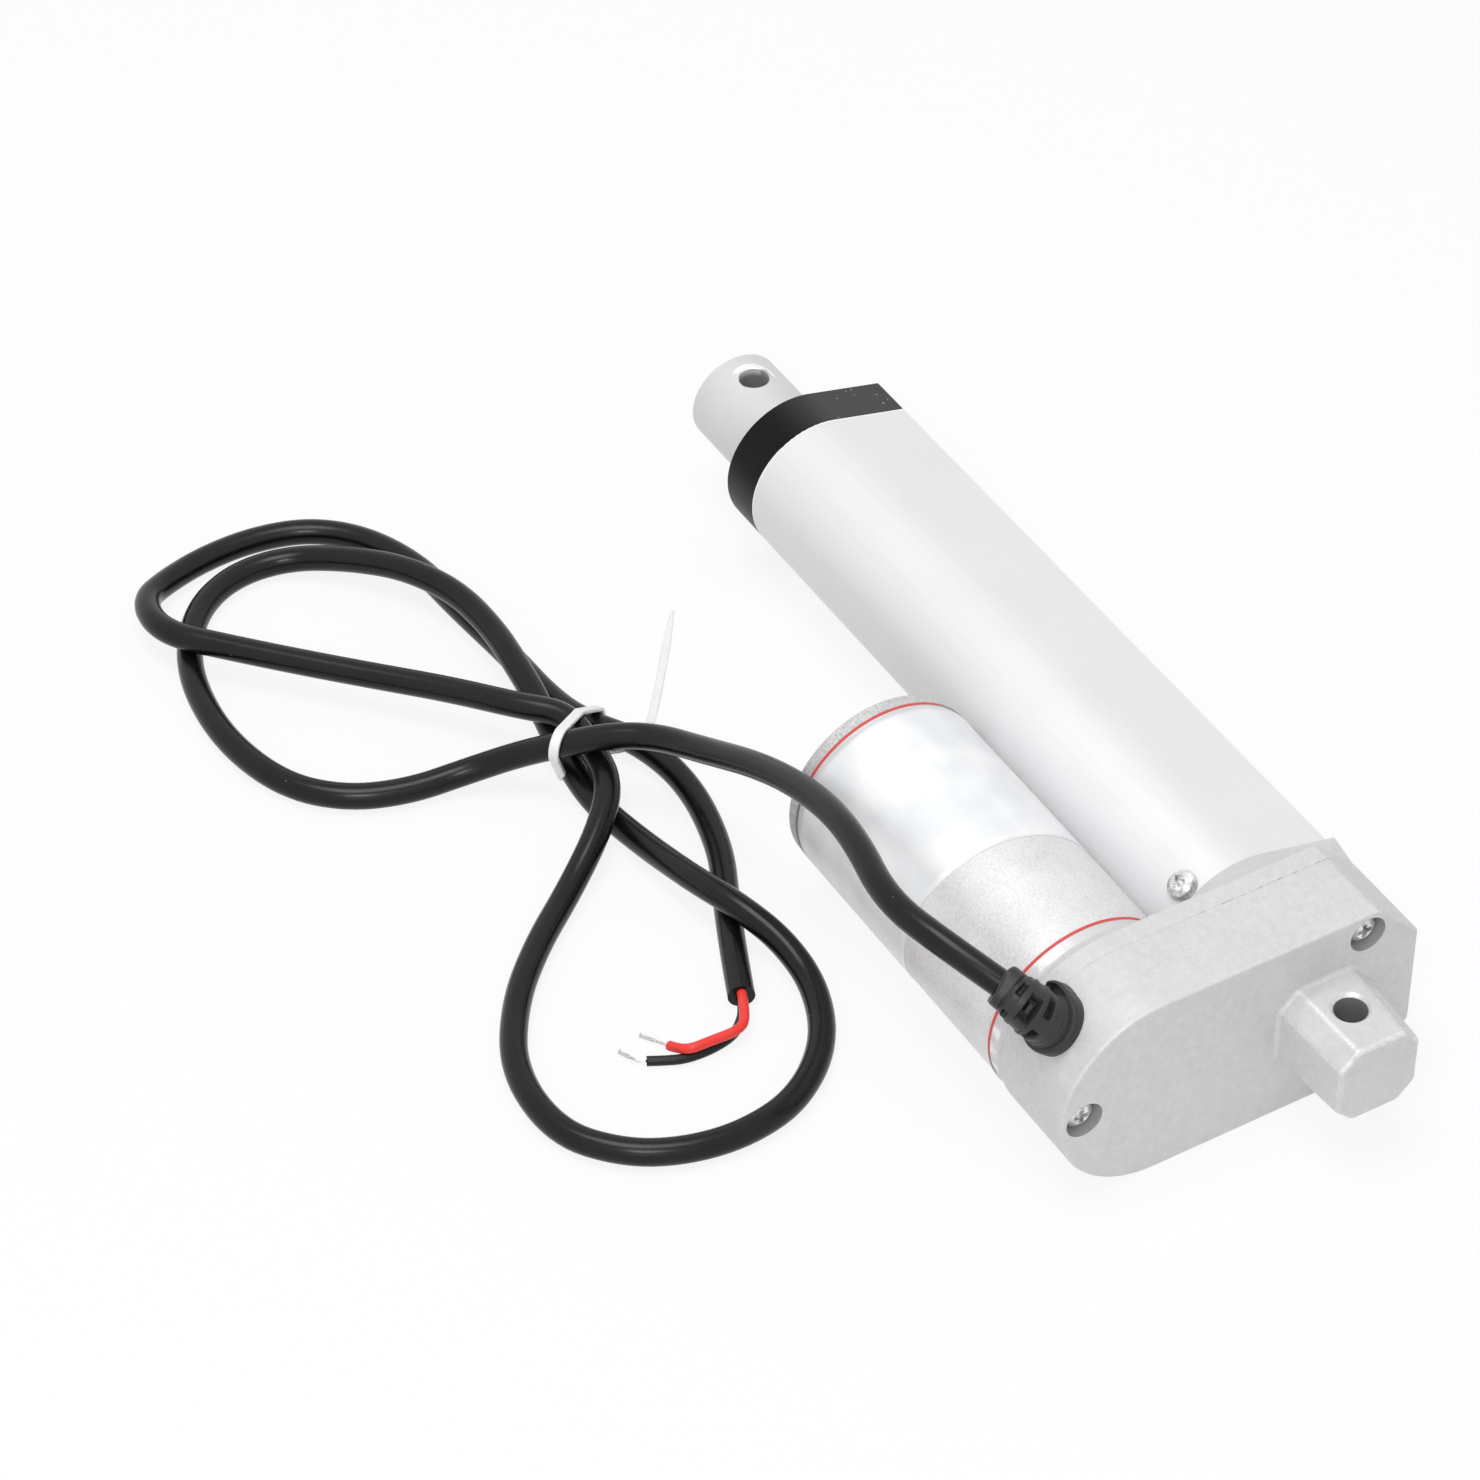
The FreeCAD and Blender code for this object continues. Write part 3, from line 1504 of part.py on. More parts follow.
gland_lead = gland_tip + way * d.cord_lead.value
cord_points = [tuple(gland_tip), tuple(gland_lead)] + CORD_ROUTE
flexible("power_cord", cord_points, d.cord_dia)
flexible("red_wire", RED_ROUTE, d.wire_dia)
flexible("black_wire", BLACK_ROUTE, d.wire_dia)
strands = []
for i, route in enumerate(STRAND_ROUTES):
    strands.append(flexible(f"strand_{i}", route, d.strand_dia))
group("wire_strands", strands)

# Cable tie: a band round the four strands, its head underneath and its tail along the floor

TIE_CENTRE = Vector(151.0, 73.0, 0)
TIE_ACROSS = Vector(0.588, -0.809, 0)
TIE_STRANDS = [(12.9, -16.9), (3.3, -10.6), (-5.9, -8.0), (-4.6, -16.9)]
TIE_TAIL = [(154.9, 68.8), (150.4, 61.5), (153.2, 54.6), (160.3, 48.8), (170.6, 41.0), (181.4, 33.0)]


def loop(radius):
    """The outline of a band pulled round the strands, in the plane across them."""
    edges = []
    count = len(TIE_STRANDS)
    spots = [Vector(across_by, 0, up) for across_by, up in TIE_STRANDS]
    sides = []
    for i in range(count):
        run = spots[(i + 1) % count] - spots[i]
        run.normalize()
        sides.append(Vector(run.z, 0, -run.x) * radius)
    for i in range(count):
        start = spots[i] + sides[i - 1]
        end = spots[i] + sides[i]
        middle = sides[i - 1] + sides[i]
        middle.normalize()
        edges.append(Part.Arc(start, spots[i] + middle * radius, end).toShape())
        edges.append(Part.LineSegment(end, spots[(i + 1) % count] + sides[i]).toShape())
    return Part.Face(Part.Wire(edges))


band_inner = (d.cord_dia / 2 + d.tie_slack).value
band = loop(band_inner + d.tie_thickness.value).cut(loop(band_inner))
band = band.extrude(Vector(0, d.tie_width.value, 0))
band.translate(Vector(0, -d.tie_width.value / 2, 0))
along = Vector(0, 0, 1).cross(TIE_ACROSS)
frame = Matrix(
    TIE_ACROSS.x, along.x, 0, TIE_CENTRE.x,
    TIE_ACROSS.y, along.y, 0, TIE_CENTRE.y,
    0, 0, 1, 0,
    0, 0, 0, 1,
)
lowest = min(up for _, up in TIE_STRANDS)
head_low = lowest - band_inner - d.tie_thickness.value
head_size = d.tie_head.value
head = Part.makeBox(head_size, head_size, head_size, Vector(head_size, -head_size / 2, head_low))
band = band.fuse(head).transformGeometry(frame)
tail_z = head_low + d.tie_thickness.value / 2
tail_path, _ = round_path([(x, y, tail_z) for x, y in TIE_TAIL])
tail_way = Vector(TIE_TAIL[1][0] - TIE_TAIL[0][0], TIE_TAIL[1][1] - TIE_TAIL[0][1], 0)
tail_way.normalize()
beside = Vector(0, 0, 1).cross(tail_way) * (d.tie_width.value / 2)
rise = Vector(0, 0, d.tie_thickness.value / 2)
root = Vector(TIE_TAIL[0][0], TIE_TAIL[0][1], tail_z)
corners = [root + beside + rise, root - beside + rise, root - beside - rise, root + beside - rise]
strap = Part.makePolygon(corners + corners[:1])
tail = tail_path.makePipeShell([strap], True, True)
tie = doc.addObject("Part::Feature", "cable_tie")
tie.Shape = band.fuse(tail).removeSplitter()

# Every object must have built cleanly before anything is written

NODES = [
    "rear_cover", "front_housing", "cover_screws", "outer_tube", "tube_screws", "front_cap", "cap_screws",
    "rod_guide_bush", "rod_wiper", "extension_rod", "rod_plug", "drive_nut", "lead_screw", "rear_bush",
    "bearing_inner_ring", "bearing_outer_ring", "bearing_balls", "bearing_circlip", "driven_gear",
    "idler_gear", "idler_axle", "motor_pinion", "front_gasket", "motor_can", "rear_gasket", "motor_end_cap",
    "shaft_bush_front", "shaft_bush_rear", "motor_shaft", "armature_core", "armature_windings", "commutator",
    "magnets", "brush_plate", "carbon_brushes", "tie_bolts", "switch_board", "retract_switch",
    "extend_switch", "retract_plunger", "extend_plunger", "cord_gland", "power_cord", "red_wire",
    "black_wire", "wire_strands", "cable_tie",
]

doc.recompute()
for made in doc.Objects:
    if "Invalid" in made.State or "Error" in made.State:
        raise RuntimeError(f"{made.Label} failed: {made.State}")
for name in NODES:
    shape = doc.getObject(name).Shape
    if shape.isNull() or not shape.isValid() or not shape.Solids:
        raise RuntimeError(f"{name} has no valid solid")
os.makedirs("parts", exist_ok=True)
for name in NODES:
    doc.getObject(name).Shape.exportStep(f"parts/{name}.step")
print(len(NODES), "pieces written")
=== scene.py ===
"""Looks of the electric linear actuator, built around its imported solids. All lengths are in metres."""

import json
import math

import bmesh
import bpy
import numpy as np
from mathutils import Matrix, Vector


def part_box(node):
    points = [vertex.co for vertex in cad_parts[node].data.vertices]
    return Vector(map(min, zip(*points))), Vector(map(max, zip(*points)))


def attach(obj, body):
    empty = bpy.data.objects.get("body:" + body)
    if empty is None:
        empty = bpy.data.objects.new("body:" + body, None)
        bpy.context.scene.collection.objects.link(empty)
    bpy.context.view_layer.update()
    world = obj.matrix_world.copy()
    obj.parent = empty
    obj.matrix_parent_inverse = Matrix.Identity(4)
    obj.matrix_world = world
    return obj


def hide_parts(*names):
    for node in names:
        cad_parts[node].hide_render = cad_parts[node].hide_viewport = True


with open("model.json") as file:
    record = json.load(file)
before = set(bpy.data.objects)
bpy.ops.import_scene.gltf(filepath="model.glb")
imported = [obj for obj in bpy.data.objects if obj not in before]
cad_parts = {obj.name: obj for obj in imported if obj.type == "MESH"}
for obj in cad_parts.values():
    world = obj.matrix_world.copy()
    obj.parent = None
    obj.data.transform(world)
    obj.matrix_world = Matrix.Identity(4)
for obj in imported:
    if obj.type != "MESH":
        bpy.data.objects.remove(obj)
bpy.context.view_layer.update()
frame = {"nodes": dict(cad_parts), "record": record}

MM = 0.001

# Camera, fitted to the photograph's edges and holes
IMAGE_PIXELS = 1480
FOCAL_PIXELS = 5190.36
SENSOR_MM = 36.0
CAMERA_PLACE = (-0.49736, 0.41649, 0.65745)
CAMERA_ELEVATION = math.radians(42.410)
CAMERA_TURN = math.radians(59.547)
CAMERA_ROLL = math.radians(-0.186)

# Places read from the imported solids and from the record's two pin bores
cover_low, cover_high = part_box("rear_cover")
can_low, can_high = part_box("motor_can")
mounts = {mount["name"]: mount for mount in frame["record"]["mounts"]}
FLOOR_GAP = 0.03 * MM
FLOOR_Z = cover_low.z - FLOOR_GAP
MOTOR_Y = (can_low.y + can_high.y) / 2
CAN_RADIUS = (can_high.z - can_low.z) / 2
CAN_START = can_low.x
CAN_END = can_high.x
CASING_HALF = cover_high.z
CASING_END_Y = cover_high.y - CASING_HALF
CASING_SPLIT = cover_high.x
TUBE_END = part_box("outer_tube")[1].x
ROD_HOLE = mounts["rod_eye"]["pos_m"][0]
BORE_RADIUS = mounts["rear_eye"]["dims"]["r_mm"] * MM

# Sunk screw seats, as places across the rear cover's face
SEAT_RADIUS = 3.7 * MM
SEAT_EDGE = 4.8 * MM
SEAT_SIDE_Y = -8.8 * MM
SEAT_RISE = CASING_HALF - SEAT_EDGE
SCREW_SEATS = [(CASING_END_Y + SEAT_RISE, 0.0), (SEAT_SIDE_Y, SEAT_RISE), (SEAT_SIDE_Y, -SEAT_RISE)]

# Cord gland on the casing's round end
GLAND_X = 19.6 * MM
GLAND_ANGLE = math.radians(42.7)
GLAND_RISE = 2.2 * MM
GLAND_BEND = 7.05 * MM
GLAND_TURN = math.radians(60.0)
GLAND_DRIFT = -0.6 * MM
GLAND_SINK = 0.05 * MM

# Cord and its two cores, with the route's points in millimetres
CORD_DIAMETER = 5.2 * MM
WIRE_DIAMETER = 1.9 * MM
SPLINE_ORDER = 3
SPLINE_STEPS = 8
ROUND_STEPS = 7
CORD_ROUTE = [
    (26.32, 56.47, 21.16), (35.9, 61.4, 24.5),
    (51.0, 64.5, 24.6), (69.3, 59.9, 23.0), (86.1, 57.4, 18.0), (105.6, 56.8, 9.5), (124.5, 59.2, 0.0),
    (135.6, 62.6, -3.8), (141.3, 69.2, -4.9), (146.2, 76.2, -7.6), (152.7, 82.9, -12.2),
    (158.0, 91.3, -16.8), (159.7, 103.3, -17.9), (164.1, 114.8, -17.9), (173.7, 123.4, -17.9),
    (190.5, 127.3, -17.9), (208.3, 125.6, -17.9), (220.9, 120.3, -17.9), (229.6, 112.8, -17.9),
    (233.9, 102.8, -17.9), (232.2, 91.8, -17.4), (223.5, 82.8, -15.2), (213.3, 75.7, -13.2),
    (201.4, 70.7, -12.8), (187.9, 69.7, -12.9), (176.4, 70.8, -13.0), (166.7, 71.6, -14.2),
    (151.9, 74.1, -16.0), (138.8, 75.1, -17.3), (125.1, 72.6, -17.6), (106.9, 71.3, -13.2),
    (96.2, 68.1, -12.6), (86.3, 64.2, -15.4), (74.8, 64.0, -17.9), (61.7, 70.1, -17.9),
    (52.4, 81.4, -17.9), (49.9, 93.7, -17.9), (51.7, 105.1, -17.9), (56.9, 114.8, -17.9),
    (67.4, 122.7, -17.9), (84.8, 122.1, -17.9), (99.7, 113.4, -17.9), (110.6, 102.8, -17.9),
    (119.9, 90.8, -17.6), (127.6, 79.7, -13.2), (135.9, 72.7, -11.3), (145.7, 70.8, -11.5),
    (156.1, 70.7, -10.2), (162.5, 77.5, -10.0), (175.3, 85.9, -11.8), (187.1, 96.3, -12.6),
    (198.6, 107.0, -12.8), (209.5, 116.8, -12.9), (219.8, 126.0, -12.8), (233.0, 124.4, -15.4),
    (238.7, 116.3, -17.6), (241.5, 106.2, -17.9), (241.7, 95.0, -17.9), (238.5, 84.1, -17.9),
    (230.2, 75.8, -17.9), (216.9, 70.7, -17.9), (201.7, 69.9, -17.9), (184.9, 68.1, -17.9),
    (169.4, 67.5, -17.9), (158.8, 65.7, -16.8), (148.4, 59.4, -16.5), (134.0, 56.5, -17.6),
    (116.1, 60.1, -17.9), (103.0, 66.6, -17.9), (89.4, 72.9, -17.9), (80.0, 76.9, -17.9),
]
RED_ROUTE = [
    (80.6, 76.6, -17.0), (74.6, 79.1, -17.1), (72.2, 81.7, -17.3), (72.6, 87.9, -17.4), (72.6, 92.0, -17.3),
    (75.2, 93.3, -18.7), (77.0, 93.9, -19.3),
]
BLACK_ROUTE = [
    (80.6, 76.6, -19.0), (77.8, 77.8, -19.1), (75.4, 79.9, -19.3), (73.3, 82.7, -19.5), (72.4, 88.0, -19.5),
    (72.8, 93.0, -19.5), (74.3, 96.4, -19.5), (75.9, 99.3, -19.5),
]
STRAND_ROUTES = {
    "red": [(77.0, 93.9, -19.3), (78.1, 94.3, -19.7), (80.2, 95.4, -19.9), (82.7, 96.8, -20.0)],
    "black": [(75.9, 99.3, -19.5), (76.6, 100.6, -19.5), (78.6, 101.4, -19.7), (80.9, 102.2, -19.8)],
}

# Bare strands
STRAND_COUNT = 7
STRAND_SIDES = 6
STRAND_RADIUS = 0.09 * MM
STRAND_FLOOR_GAP = 0.05 * MM
BUNDLE_RADIUS = 0.22 * MM
# how far apart they start round the bundle and how far that twists, in radians
STRAND_STEP = 2.4
BUNDLE_TWIST = 2.2
# the share by which the bundle widens towards its tip
BUNDLE_FAN = 1.1

# Cable tie: the strands that it holds, across its plane, and its tail on the floor
TIE_CENTRE = np.array([152.0, 71.0, 0.0]) * MM
TIE_ACROSS = np.array([0.616, -0.788, 0.0])
TIE_STRANDS = np.array([(8.4, -16.8), (0.2, -10.7), (-7.8, -8.3), (-4.0, -16.2)]) * MM
TIE_WIDTH = 2.0 * MM
TIE_THICKNESS = 0.9 * MM
TIE_SLACK = 0.2 * MM
TIE_HEAD = np.array([3.4, 3.4, 3.4]) * MM
TIE_HEAD_ACROSS = 3.0 * MM
TIE_TAIL = [(154.9, 68.8), (150.4, 61.5), (153.2, 54.6), (160.3, 48.8), (170.6, 41.0), (181.4, 33.0)]
# the tail's width at its tip and past its taper, as shares of the strap's, and its teeth
TAIL_TIP = 0.40
TAIL_FULL = 0.85
TAIL_TAPER = 9.0 * MM
TOOTH_DEPTH = 0.05 * MM
TOOTH_PITCH = 1.1 * MM
# powers that square off a circle: the lower, the squarer
STRAP_BLUNT = 0.35
HEAD_BLUNT = 0.28
STRAP_POINTS = 16
BAND_ROWS = 180
TAIL_ROWS = 260
HEAD_ROWS = 25
HEAD_COLUMNS = 40


# Shader building


def feed(tree, sockets, values):
    """Links or sets each named socket."""
    for key, value in values.items():
        if isinstance(value, Signal):
            tree.links.new(value.socket, sockets[key])
        else:
            sockets[key].default_value = value


class Signal:
    """One socket's output, with the operators that shader maths needs."""

    def __init__(self, tree, socket):
        self.tree = tree
        self.socket = socket

    def math(self, operation, *others):
        """A Math node on this signal and any others."""
        node = self.tree.nodes.new("ShaderNodeMath")
        node.operation = operation
        feed(self.tree, node.inputs, dict(enumerate((self, *others))))
        return Signal(self.tree, node.outputs[0])

    def __add__(self, other):
        return self.math("ADD", other)

    def __mul__(self, other):
        return self.math("MULTIPLY", other)

    def __sub__(self, other):
        return self.math("SUBTRACT", other)

    def __rsub__(self, other):
        return self.math("MULTIPLY_ADD", -1.0, other)

    __radd__ = __add__
    __rmul__ = __mul__


class Finish:
    """A material of one shader, with a method that adds any other node."""

    def __init__(self, name, **constants):
        self.material = bpy.data.materials.new(name)
        self.material.use_nodes = True
        self.tree = self.material.node_tree
        self.shader = self.tree.nodes["Principled BSDF"]
        self.place = self.node("ShaderNodeTexCoord", output="Object")
        for key, value in constants.items():
            self.set(key.replace("_", " ").title().replace("Ior", "IOR"), value)

    def node(self, kind, settings=None, values=None, output=0):
        """Adds a node: its settings first, then the values or links of its sockets. Returns one output."""
        made = self.tree.nodes.new(kind)
        for key, value in (settings or {}).items():
            setattr(made, key, value)
        feed(self.tree, made.inputs, values or {})
        return Signal(self.tree, made.outputs[output])

    def set(self, socket, value):
        """Links or sets one socket of the shader."""
        feed(self.tree, self.shader.inputs, {socket: value})

    def noise(self, size, detail=2.0, stretch=(1.0, 1.0, 1.0), roughness=0.55):
        """Noise whose blotches are about size across, drawn out along stretch."""
        scale = tuple(1.0 / (size * way) for way in stretch)
        spot = self.node("ShaderNodeVectorMath", {"operation": "MULTIPLY"}, {0: self.place, 1: scale})
        values = {"Vector": spot, "Scale": 1.0, "Detail": detail, "Roughness": roughness}
        return self.node("ShaderNodeTexNoise", None, values)

    def cells(self, size):
        """Distance to the nearest of scattered points that are about size apart."""
        values = {0: self.place, "Scale": 1.0 / size}
        spot = self.node("ShaderNodeVectorMath", {"operation": "SCALE"}, values)
        return self.node("ShaderNodeTexVoronoi", None, {"Vector": spot, "Scale": 1.0})

    def between(self, signal, low, high):
        """0 below low, 1 above high, smooth between."""
        settings = {"interpolation_type": "SMOOTHSTEP"}
        values = {"Value": signal, "From Min": low, "From Max": high}
        return self.node("ShaderNodeMapRange", settings, values)

    def below(self, signal, low, high):
        """1 below low, 0 above high, smooth between."""
        return 1.0 - self.between(signal, low, high)

    def hole(self, across, up, radius):
        """1 inside a round hole and on its wall, from two signals that are zero along its axis."""
        return self.below(distance(across, up), radius + HOLE_EDGE[0], radius + HOLE_EDGE[1])

    def mix(self, factor, first, second):
        """One colour fading into another. The node keeps its two colours on sockets 6 and 7."""
        values = {0: factor, 6: first, 7: second}
        return self.node("ShaderNodeMix", {"data_type": "RGBA"}, values, output=2)

    def facing(self):
        """The way that a spot of the surface faces."""
        return self.node("ShaderNodeTexCoord", output="Normal")

    def axis(self, letter, vector=None):
        """One part of a vector, or of a spot's place."""
        return self.node("ShaderNodeSeparateXYZ", None, {0: vector or self.place}, output=letter.upper())

    def bump(self, height, depth, strength):
        """Small relief, depth high where height is 1."""
        values = {"Height": height, "Distance": depth, "Strength": strength}
        self.set("Normal", self.node("ShaderNodeBump", None, values))


def distance(across, up):
    """How far a spot lies from where both signals are zero."""
    return (across * across + up * up).math("SQRT")


def grey(level, tint=(1.0, 1.0, 1.0)):
    """An even grey, or one with a tint."""
    return (level * tint[0], level * tint[1], level * tint[2], 1.0)


COOL = (0.995, 0.985, 1.0)
# how far past a hole's radius its finish starts and stops to fade
HOLE_EDGE = (0.02 * MM, 0.10 * MM)


# Metals

CASTING_TONE = 0.67
CASTING_SPREAD = 0.06
CASTING_METALLIC = 0.25


def casting_base(name):
    """Blasted die casting: fine grain with bright flecks, a few pits, edge wear with a painted highlight on
    edges that face up, and a broken seam line.
    Returns the finish and its colour."""
    made = Finish(name, metallic=CASTING_METALLIC)
    grain = made.noise(0.30 * MM, detail=3.0, roughness=0.7)
    patch = made.noise(1.7 * MM, detail=3.0)
    cloud = made.noise(9.0 * MM, detail=2.0)
    fleck = made.between(made.noise(0.18 * MM, detail=1.0), 0.64, 0.80)
    pit = made.below(made.cells(5.0 * MM), 0.02, 0.04)
    shade = made.between(grain * 0.55 + patch * 0.3 + cloud * 0.15, 0.32, 0.68)
    dark = grey(CASTING_TONE - CASTING_SPREAD, COOL)
    colour = made.mix(shade, dark, grey(CASTING_TONE + CASTING_SPREAD, COOL))
    colour = made.mix(fleck * 0.45, colour, grey(0.86, COOL))
    colour = made.mix(pit * 0.6, colour, grey(0.22))
    apart = (made.axis("x") - CASING_SPLIT).math("ABSOLUTE")
    broken = made.between(made.noise(2.6 * MM), 0.46, 0.60)
    beside_tube = made.below(made.axis("y"), 8.0 * MM, 24.0 * MM)
    seam = made.below(apart, 0.08 * MM, 0.22 * MM) * broken * beside_tube
    colour = made.mix(seam * 0.40, colour, grey(0.20))
    # worn edges, with a painted highlight on those that face up
    paler = edge_wear_and_highlight(made)
    colour = made.mix(paler * 0.55, colour, grey(0.93, COOL))
    made.set("Roughness", 0.50 + 0.18 * grain - 0.20 * paler)
    made.bump(grain * 0.7 + fleck * 0.3 - pit * 0.8 - seam * 0.6, 0.10 * MM, 0.30)
    return made, colour


def edge_wear_and_highlight(made):
    """Edge wear and painted highlight: how far a spot's facing lies from the flat sides, on the eye every
    rounded corner, and elsewhere the rim round the rear face. Stronger on edges that face up, as painted
    highlight. Broken up by a fine noise."""
    facing = made.facing()
    back = made.axis("x", facing) * -1.0
    side = made.axis("y", facing).math("ABSOLUTE")
    rise = made.axis("z", facing).math("ABSOLUTE")
    slant = (side + rise) * math.sqrt(0.5)
    flat = side.math("MAXIMUM", rise).math("MAXIMUM", slant).math("MAXIMUM", back)
    on_eye = made.below(made.axis("x"), 7.0 * MM, 8.0 * MM)
    corner = made.below(flat, 0.935, 0.985) * on_eye
    rim = made.between(back, 0.2, 0.45) * made.below(back, 0.90, 0.98)
    # painted highlight: edges that face up are made paler than those facing sideways or down
    upward_highlight = 0.4 + 0.6 * made.between(made.axis("z", facing), 0.1, 0.6)
    patchy = 0.15 + 0.85 * made.between(made.noise(1.1 * MM, detail=4.0, roughness=0.7), 0.42, 0.62)
    return corner.math("MAXIMUM", rim * 0.3) * patchy * upward_highlight


def casting():
    """The rear cover: cast all over, with painted shade inside the eye's bore and the sunk screw seats."""
    made, colour = casting_base("cast_aluminium")
    x, y, z = (made.axis(letter) for letter in "xyz")
    # painted shade: darkening inside the eye's bore and the sunk screw seats, where shade falls
    inside = 0.75 * made.hole(x, y, BORE_RADIUS)
    for seat_y, seat_z in SCREW_SEATS:
        inside = inside.math("MAXIMUM", 0.42 * made.hole(y - seat_y, z - seat_z, SEAT_RADIUS))
    made.set("Base Color", made.mix(inside, colour, grey(0.14)))
    return made.material


def end_cap_metal():
    """Coarser casting with marks drawn across its rim."""
    made = Finish("cast_end_cap", metallic=0.35)
    mark = made.noise(0.22 * MM, detail=3.0, stretch=(4.0, 1.0, 1.0), roughness=0.75)
    grain = made.noise(0.30 * MM, detail=2.0)
    shade = made.between(mark * 0.7 + grain * 0.3, 0.30, 0.68)
    made.set("Base Color", made.mix(shade, grey(0.38, COOL), grey(0.78, COOL)))
    made.set("Roughness", 0.42 + 0.2 * mark)
    made.bump(mark, 0.08 * MM, 0.35)
    return made.material


def machined_casting():
    """The front housing: cast all over, with a turned band on the motor's seat. The band has painted bright
    streaks of reflection on its side away from the tube, and none on its shaded side towards the tube."""
    made, colour = casting_base("cast_and_turned_aluminium")
    x, y, z = (made.axis(letter) for letter in "xyz")
    radius = distance(y - MOTOR_Y, z)
    beyond = made.between(radius, CAN_RADIUS - 0.5 * MM, CAN_RADIUS - 0.2 * MM)
    within = made.below(radius, CAN_RADIUS + 0.15 * MM, CAN_RADIUS + 0.3 * MM)
    ahead = made.between(x, CAN_START - 2.95 * MM, CAN_START - 2.8 * MM)
    band = beyond * within * ahead
    # painted reflection: bright streaks on the turned band, kept to its side away from the tube, as the
    # side towards the tube lies in shade
    streak = made.between(made.noise(3.2 * MM, detail=3.0, stretch=(3.0, 1.0, 1.0)), 0.40, 0.60)
    streak = streak * made.between(y, 38.0 * MM, 42.0 * MM)
    turned = made.mix(streak, grey(0.68, COOL), grey(0.95, COOL))
    made.set("Base Color", made.mix(band, colour, turned))
    made.set("Metallic", CASTING_METALLIC + 0.15 * band)
    return made.material


def anodised():
    """Satin anodised extrusion with faint draw lines along its length and a bare cut end."""
    made = Finish("anodised_tube", metallic=0.22)
    line = made.noise(0.35 * MM, detail=2.0, stretch=(80.0, 1.0, 1.0))
    grain = made.noise(0.16 * MM, detail=2.0)
    cloud = made.noise(16.0 * MM)
    shade = made.between(line * 0.35 + grain * 0.4 + cloud * 0.25, 0.3, 0.7)
    colour = made.mix(shade, grey(0.80, COOL), grey(0.85, COOL))
    cut = made.between(made.axis("x"), TUBE_END - 0.60 * MM, TUBE_END - 0.45 * MM)
    made.set("Base Color", made.mix(cut, colour, grey(0.98)))
    made.set("Roughness", 0.44 + 0.10 * grain)
    made.bump(line * 0.4 + grain * 0.6, 0.025 * MM, 0.25)
    return made.material


def rod_metal():
    """Satin drawn rod and its plug: fine turning marks and a few small nicks. The far side of the hole's
    mouth has a painted highlight, with a dark streak where it begins, and the hole has painted shade
    inside."""
    made = Finish("satin_rod", metallic=0.30)
    mark = made.noise(0.16 * MM, detail=2.0, stretch=(1.0, 40.0, 40.0))
    grain = made.noise(0.20 * MM, detail=2.0)
    cloud = made.noise(6.0 * MM)
    nick = made.below(made.cells(7.0 * MM), 0.025, 0.05)
    shade = made.between(mark * 0.35 + grain * 0.3 + cloud * 0.35, 0.3, 0.7)
    base = made.mix(shade, grey(0.68, COOL), grey(0.75, COOL))
    base = made.mix(nick, base, grey(0.4, COOL))
    ahead = made.axis("x") - ROD_HOLE
    beside = made.axis("y")
    # painted highlight: the far side of the hole's mouth, broken by a dark streak
    far = made.between(ahead * 0.85 - beside * 0.52, 0.6 * MM, 2.4 * MM)
    mouth = far * made.below(distance(ahead, beside), 4.4 * MM, 4.8 * MM)
    streak = made.below((beside + BORE_RADIUS).math("ABSOLUTE"), 0.4 * MM, 0.9 * MM)
    streak = streak * made.below(ahead, 1.4 * MM, 2.2 * MM)
    bright = made.mix(streak * 0.7, grey(0.96, COOL), grey(0.30))
    # painted shade: the hole darkened below its mouth
    inside = made.hole(ahead, beside, BORE_RADIUS)
    painted_hole_shade = inside * made.below(made.axis("z"), 7.8 * MM, 9.2 * MM)
    colour = made.mix(mouth, base, bright)
    made.set("Base Color", made.mix(painted_hole_shade, colour, grey(0.36)))
    made.set("Roughness", 0.42 + 0.14 * mark)
    made.bump(mark * 0.6 + grain * 0.4, 0.03 * MM, 0.3)
    return made.material


def can_metal():
    """Plated motor can with a coarse bright grain."""
    made = Finish("plated_can", metallic=0.40)
    grain = made.noise(0.42 * MM, detail=3.0, roughness=0.75)
    cloud = made.noise(7.0 * MM)
    smudge = made.between(made.noise(2.4 * MM, detail=4.0), 0.66, 0.74)
    shade = made.between(grain * 0.75 + cloud * 0.25, 0.30, 0.70)
    colour = made.mix(shade, grey(0.66, COOL), grey(0.88, COOL))
    made.set("Base Color", made.mix(smudge * 0.35, colour, grey(0.42)))
    made.set("Roughness", 0.38 + 0.2 * grain)
    made.bump(grain, 0.10 * MM, 0.30)
    return made.material


def foil():
    """Silvered label film: soft bluish clouding and a faint pull across it."""
    made = Finish("label_foil", metallic=0.35, coat_weight=0.15, coat_roughness=0.3)
    cloud = made.noise(12.0 * MM, detail=1.5)
    pull = made.noise(3.0 * MM, stretch=(6.0, 1.0, 1.0))
    shade = made.between(cloud * 0.8 + pull * 0.2, 0.38, 0.64)
    low = grey(0.85, (0.965, 0.98, 1.0))
    made.set("Base Color", made.mix(shade, low, grey(0.95, (0.985, 0.99, 1.0))))
    made.set("Roughness", 0.42 + 0.12 * cloud)
    made.bump(pull, 0.06 * MM, 0.2)
    return made.material


def plated(
    name, tone, tint=(1.0, 1.0, 1.0), rough=0.24, facets=0.5 * MM, depth=0.03 * MM, metallic=1.0, dull=0.72
):
    """Bright plated or ground metal with handling marks and uneven facets. Its dark spots are dull times as
    bright as the rest."""
    made = Finish(name, metallic=metallic)
    mark = made.noise(facets, detail=4.0, roughness=0.7)
    cloud = made.noise(2.2 * MM)
    shade = made.between(mark * 0.6 + cloud * 0.4, 0.3, 0.7)
    made.set("Base Color", made.mix(shade, grey(tone * dull, tint), grey(tone, tint)))
    made.set("Roughness", rough + 0.18 * mark)
    made.bump(mark, depth, 0.3)
    return made.material


# Plastics and rubbers


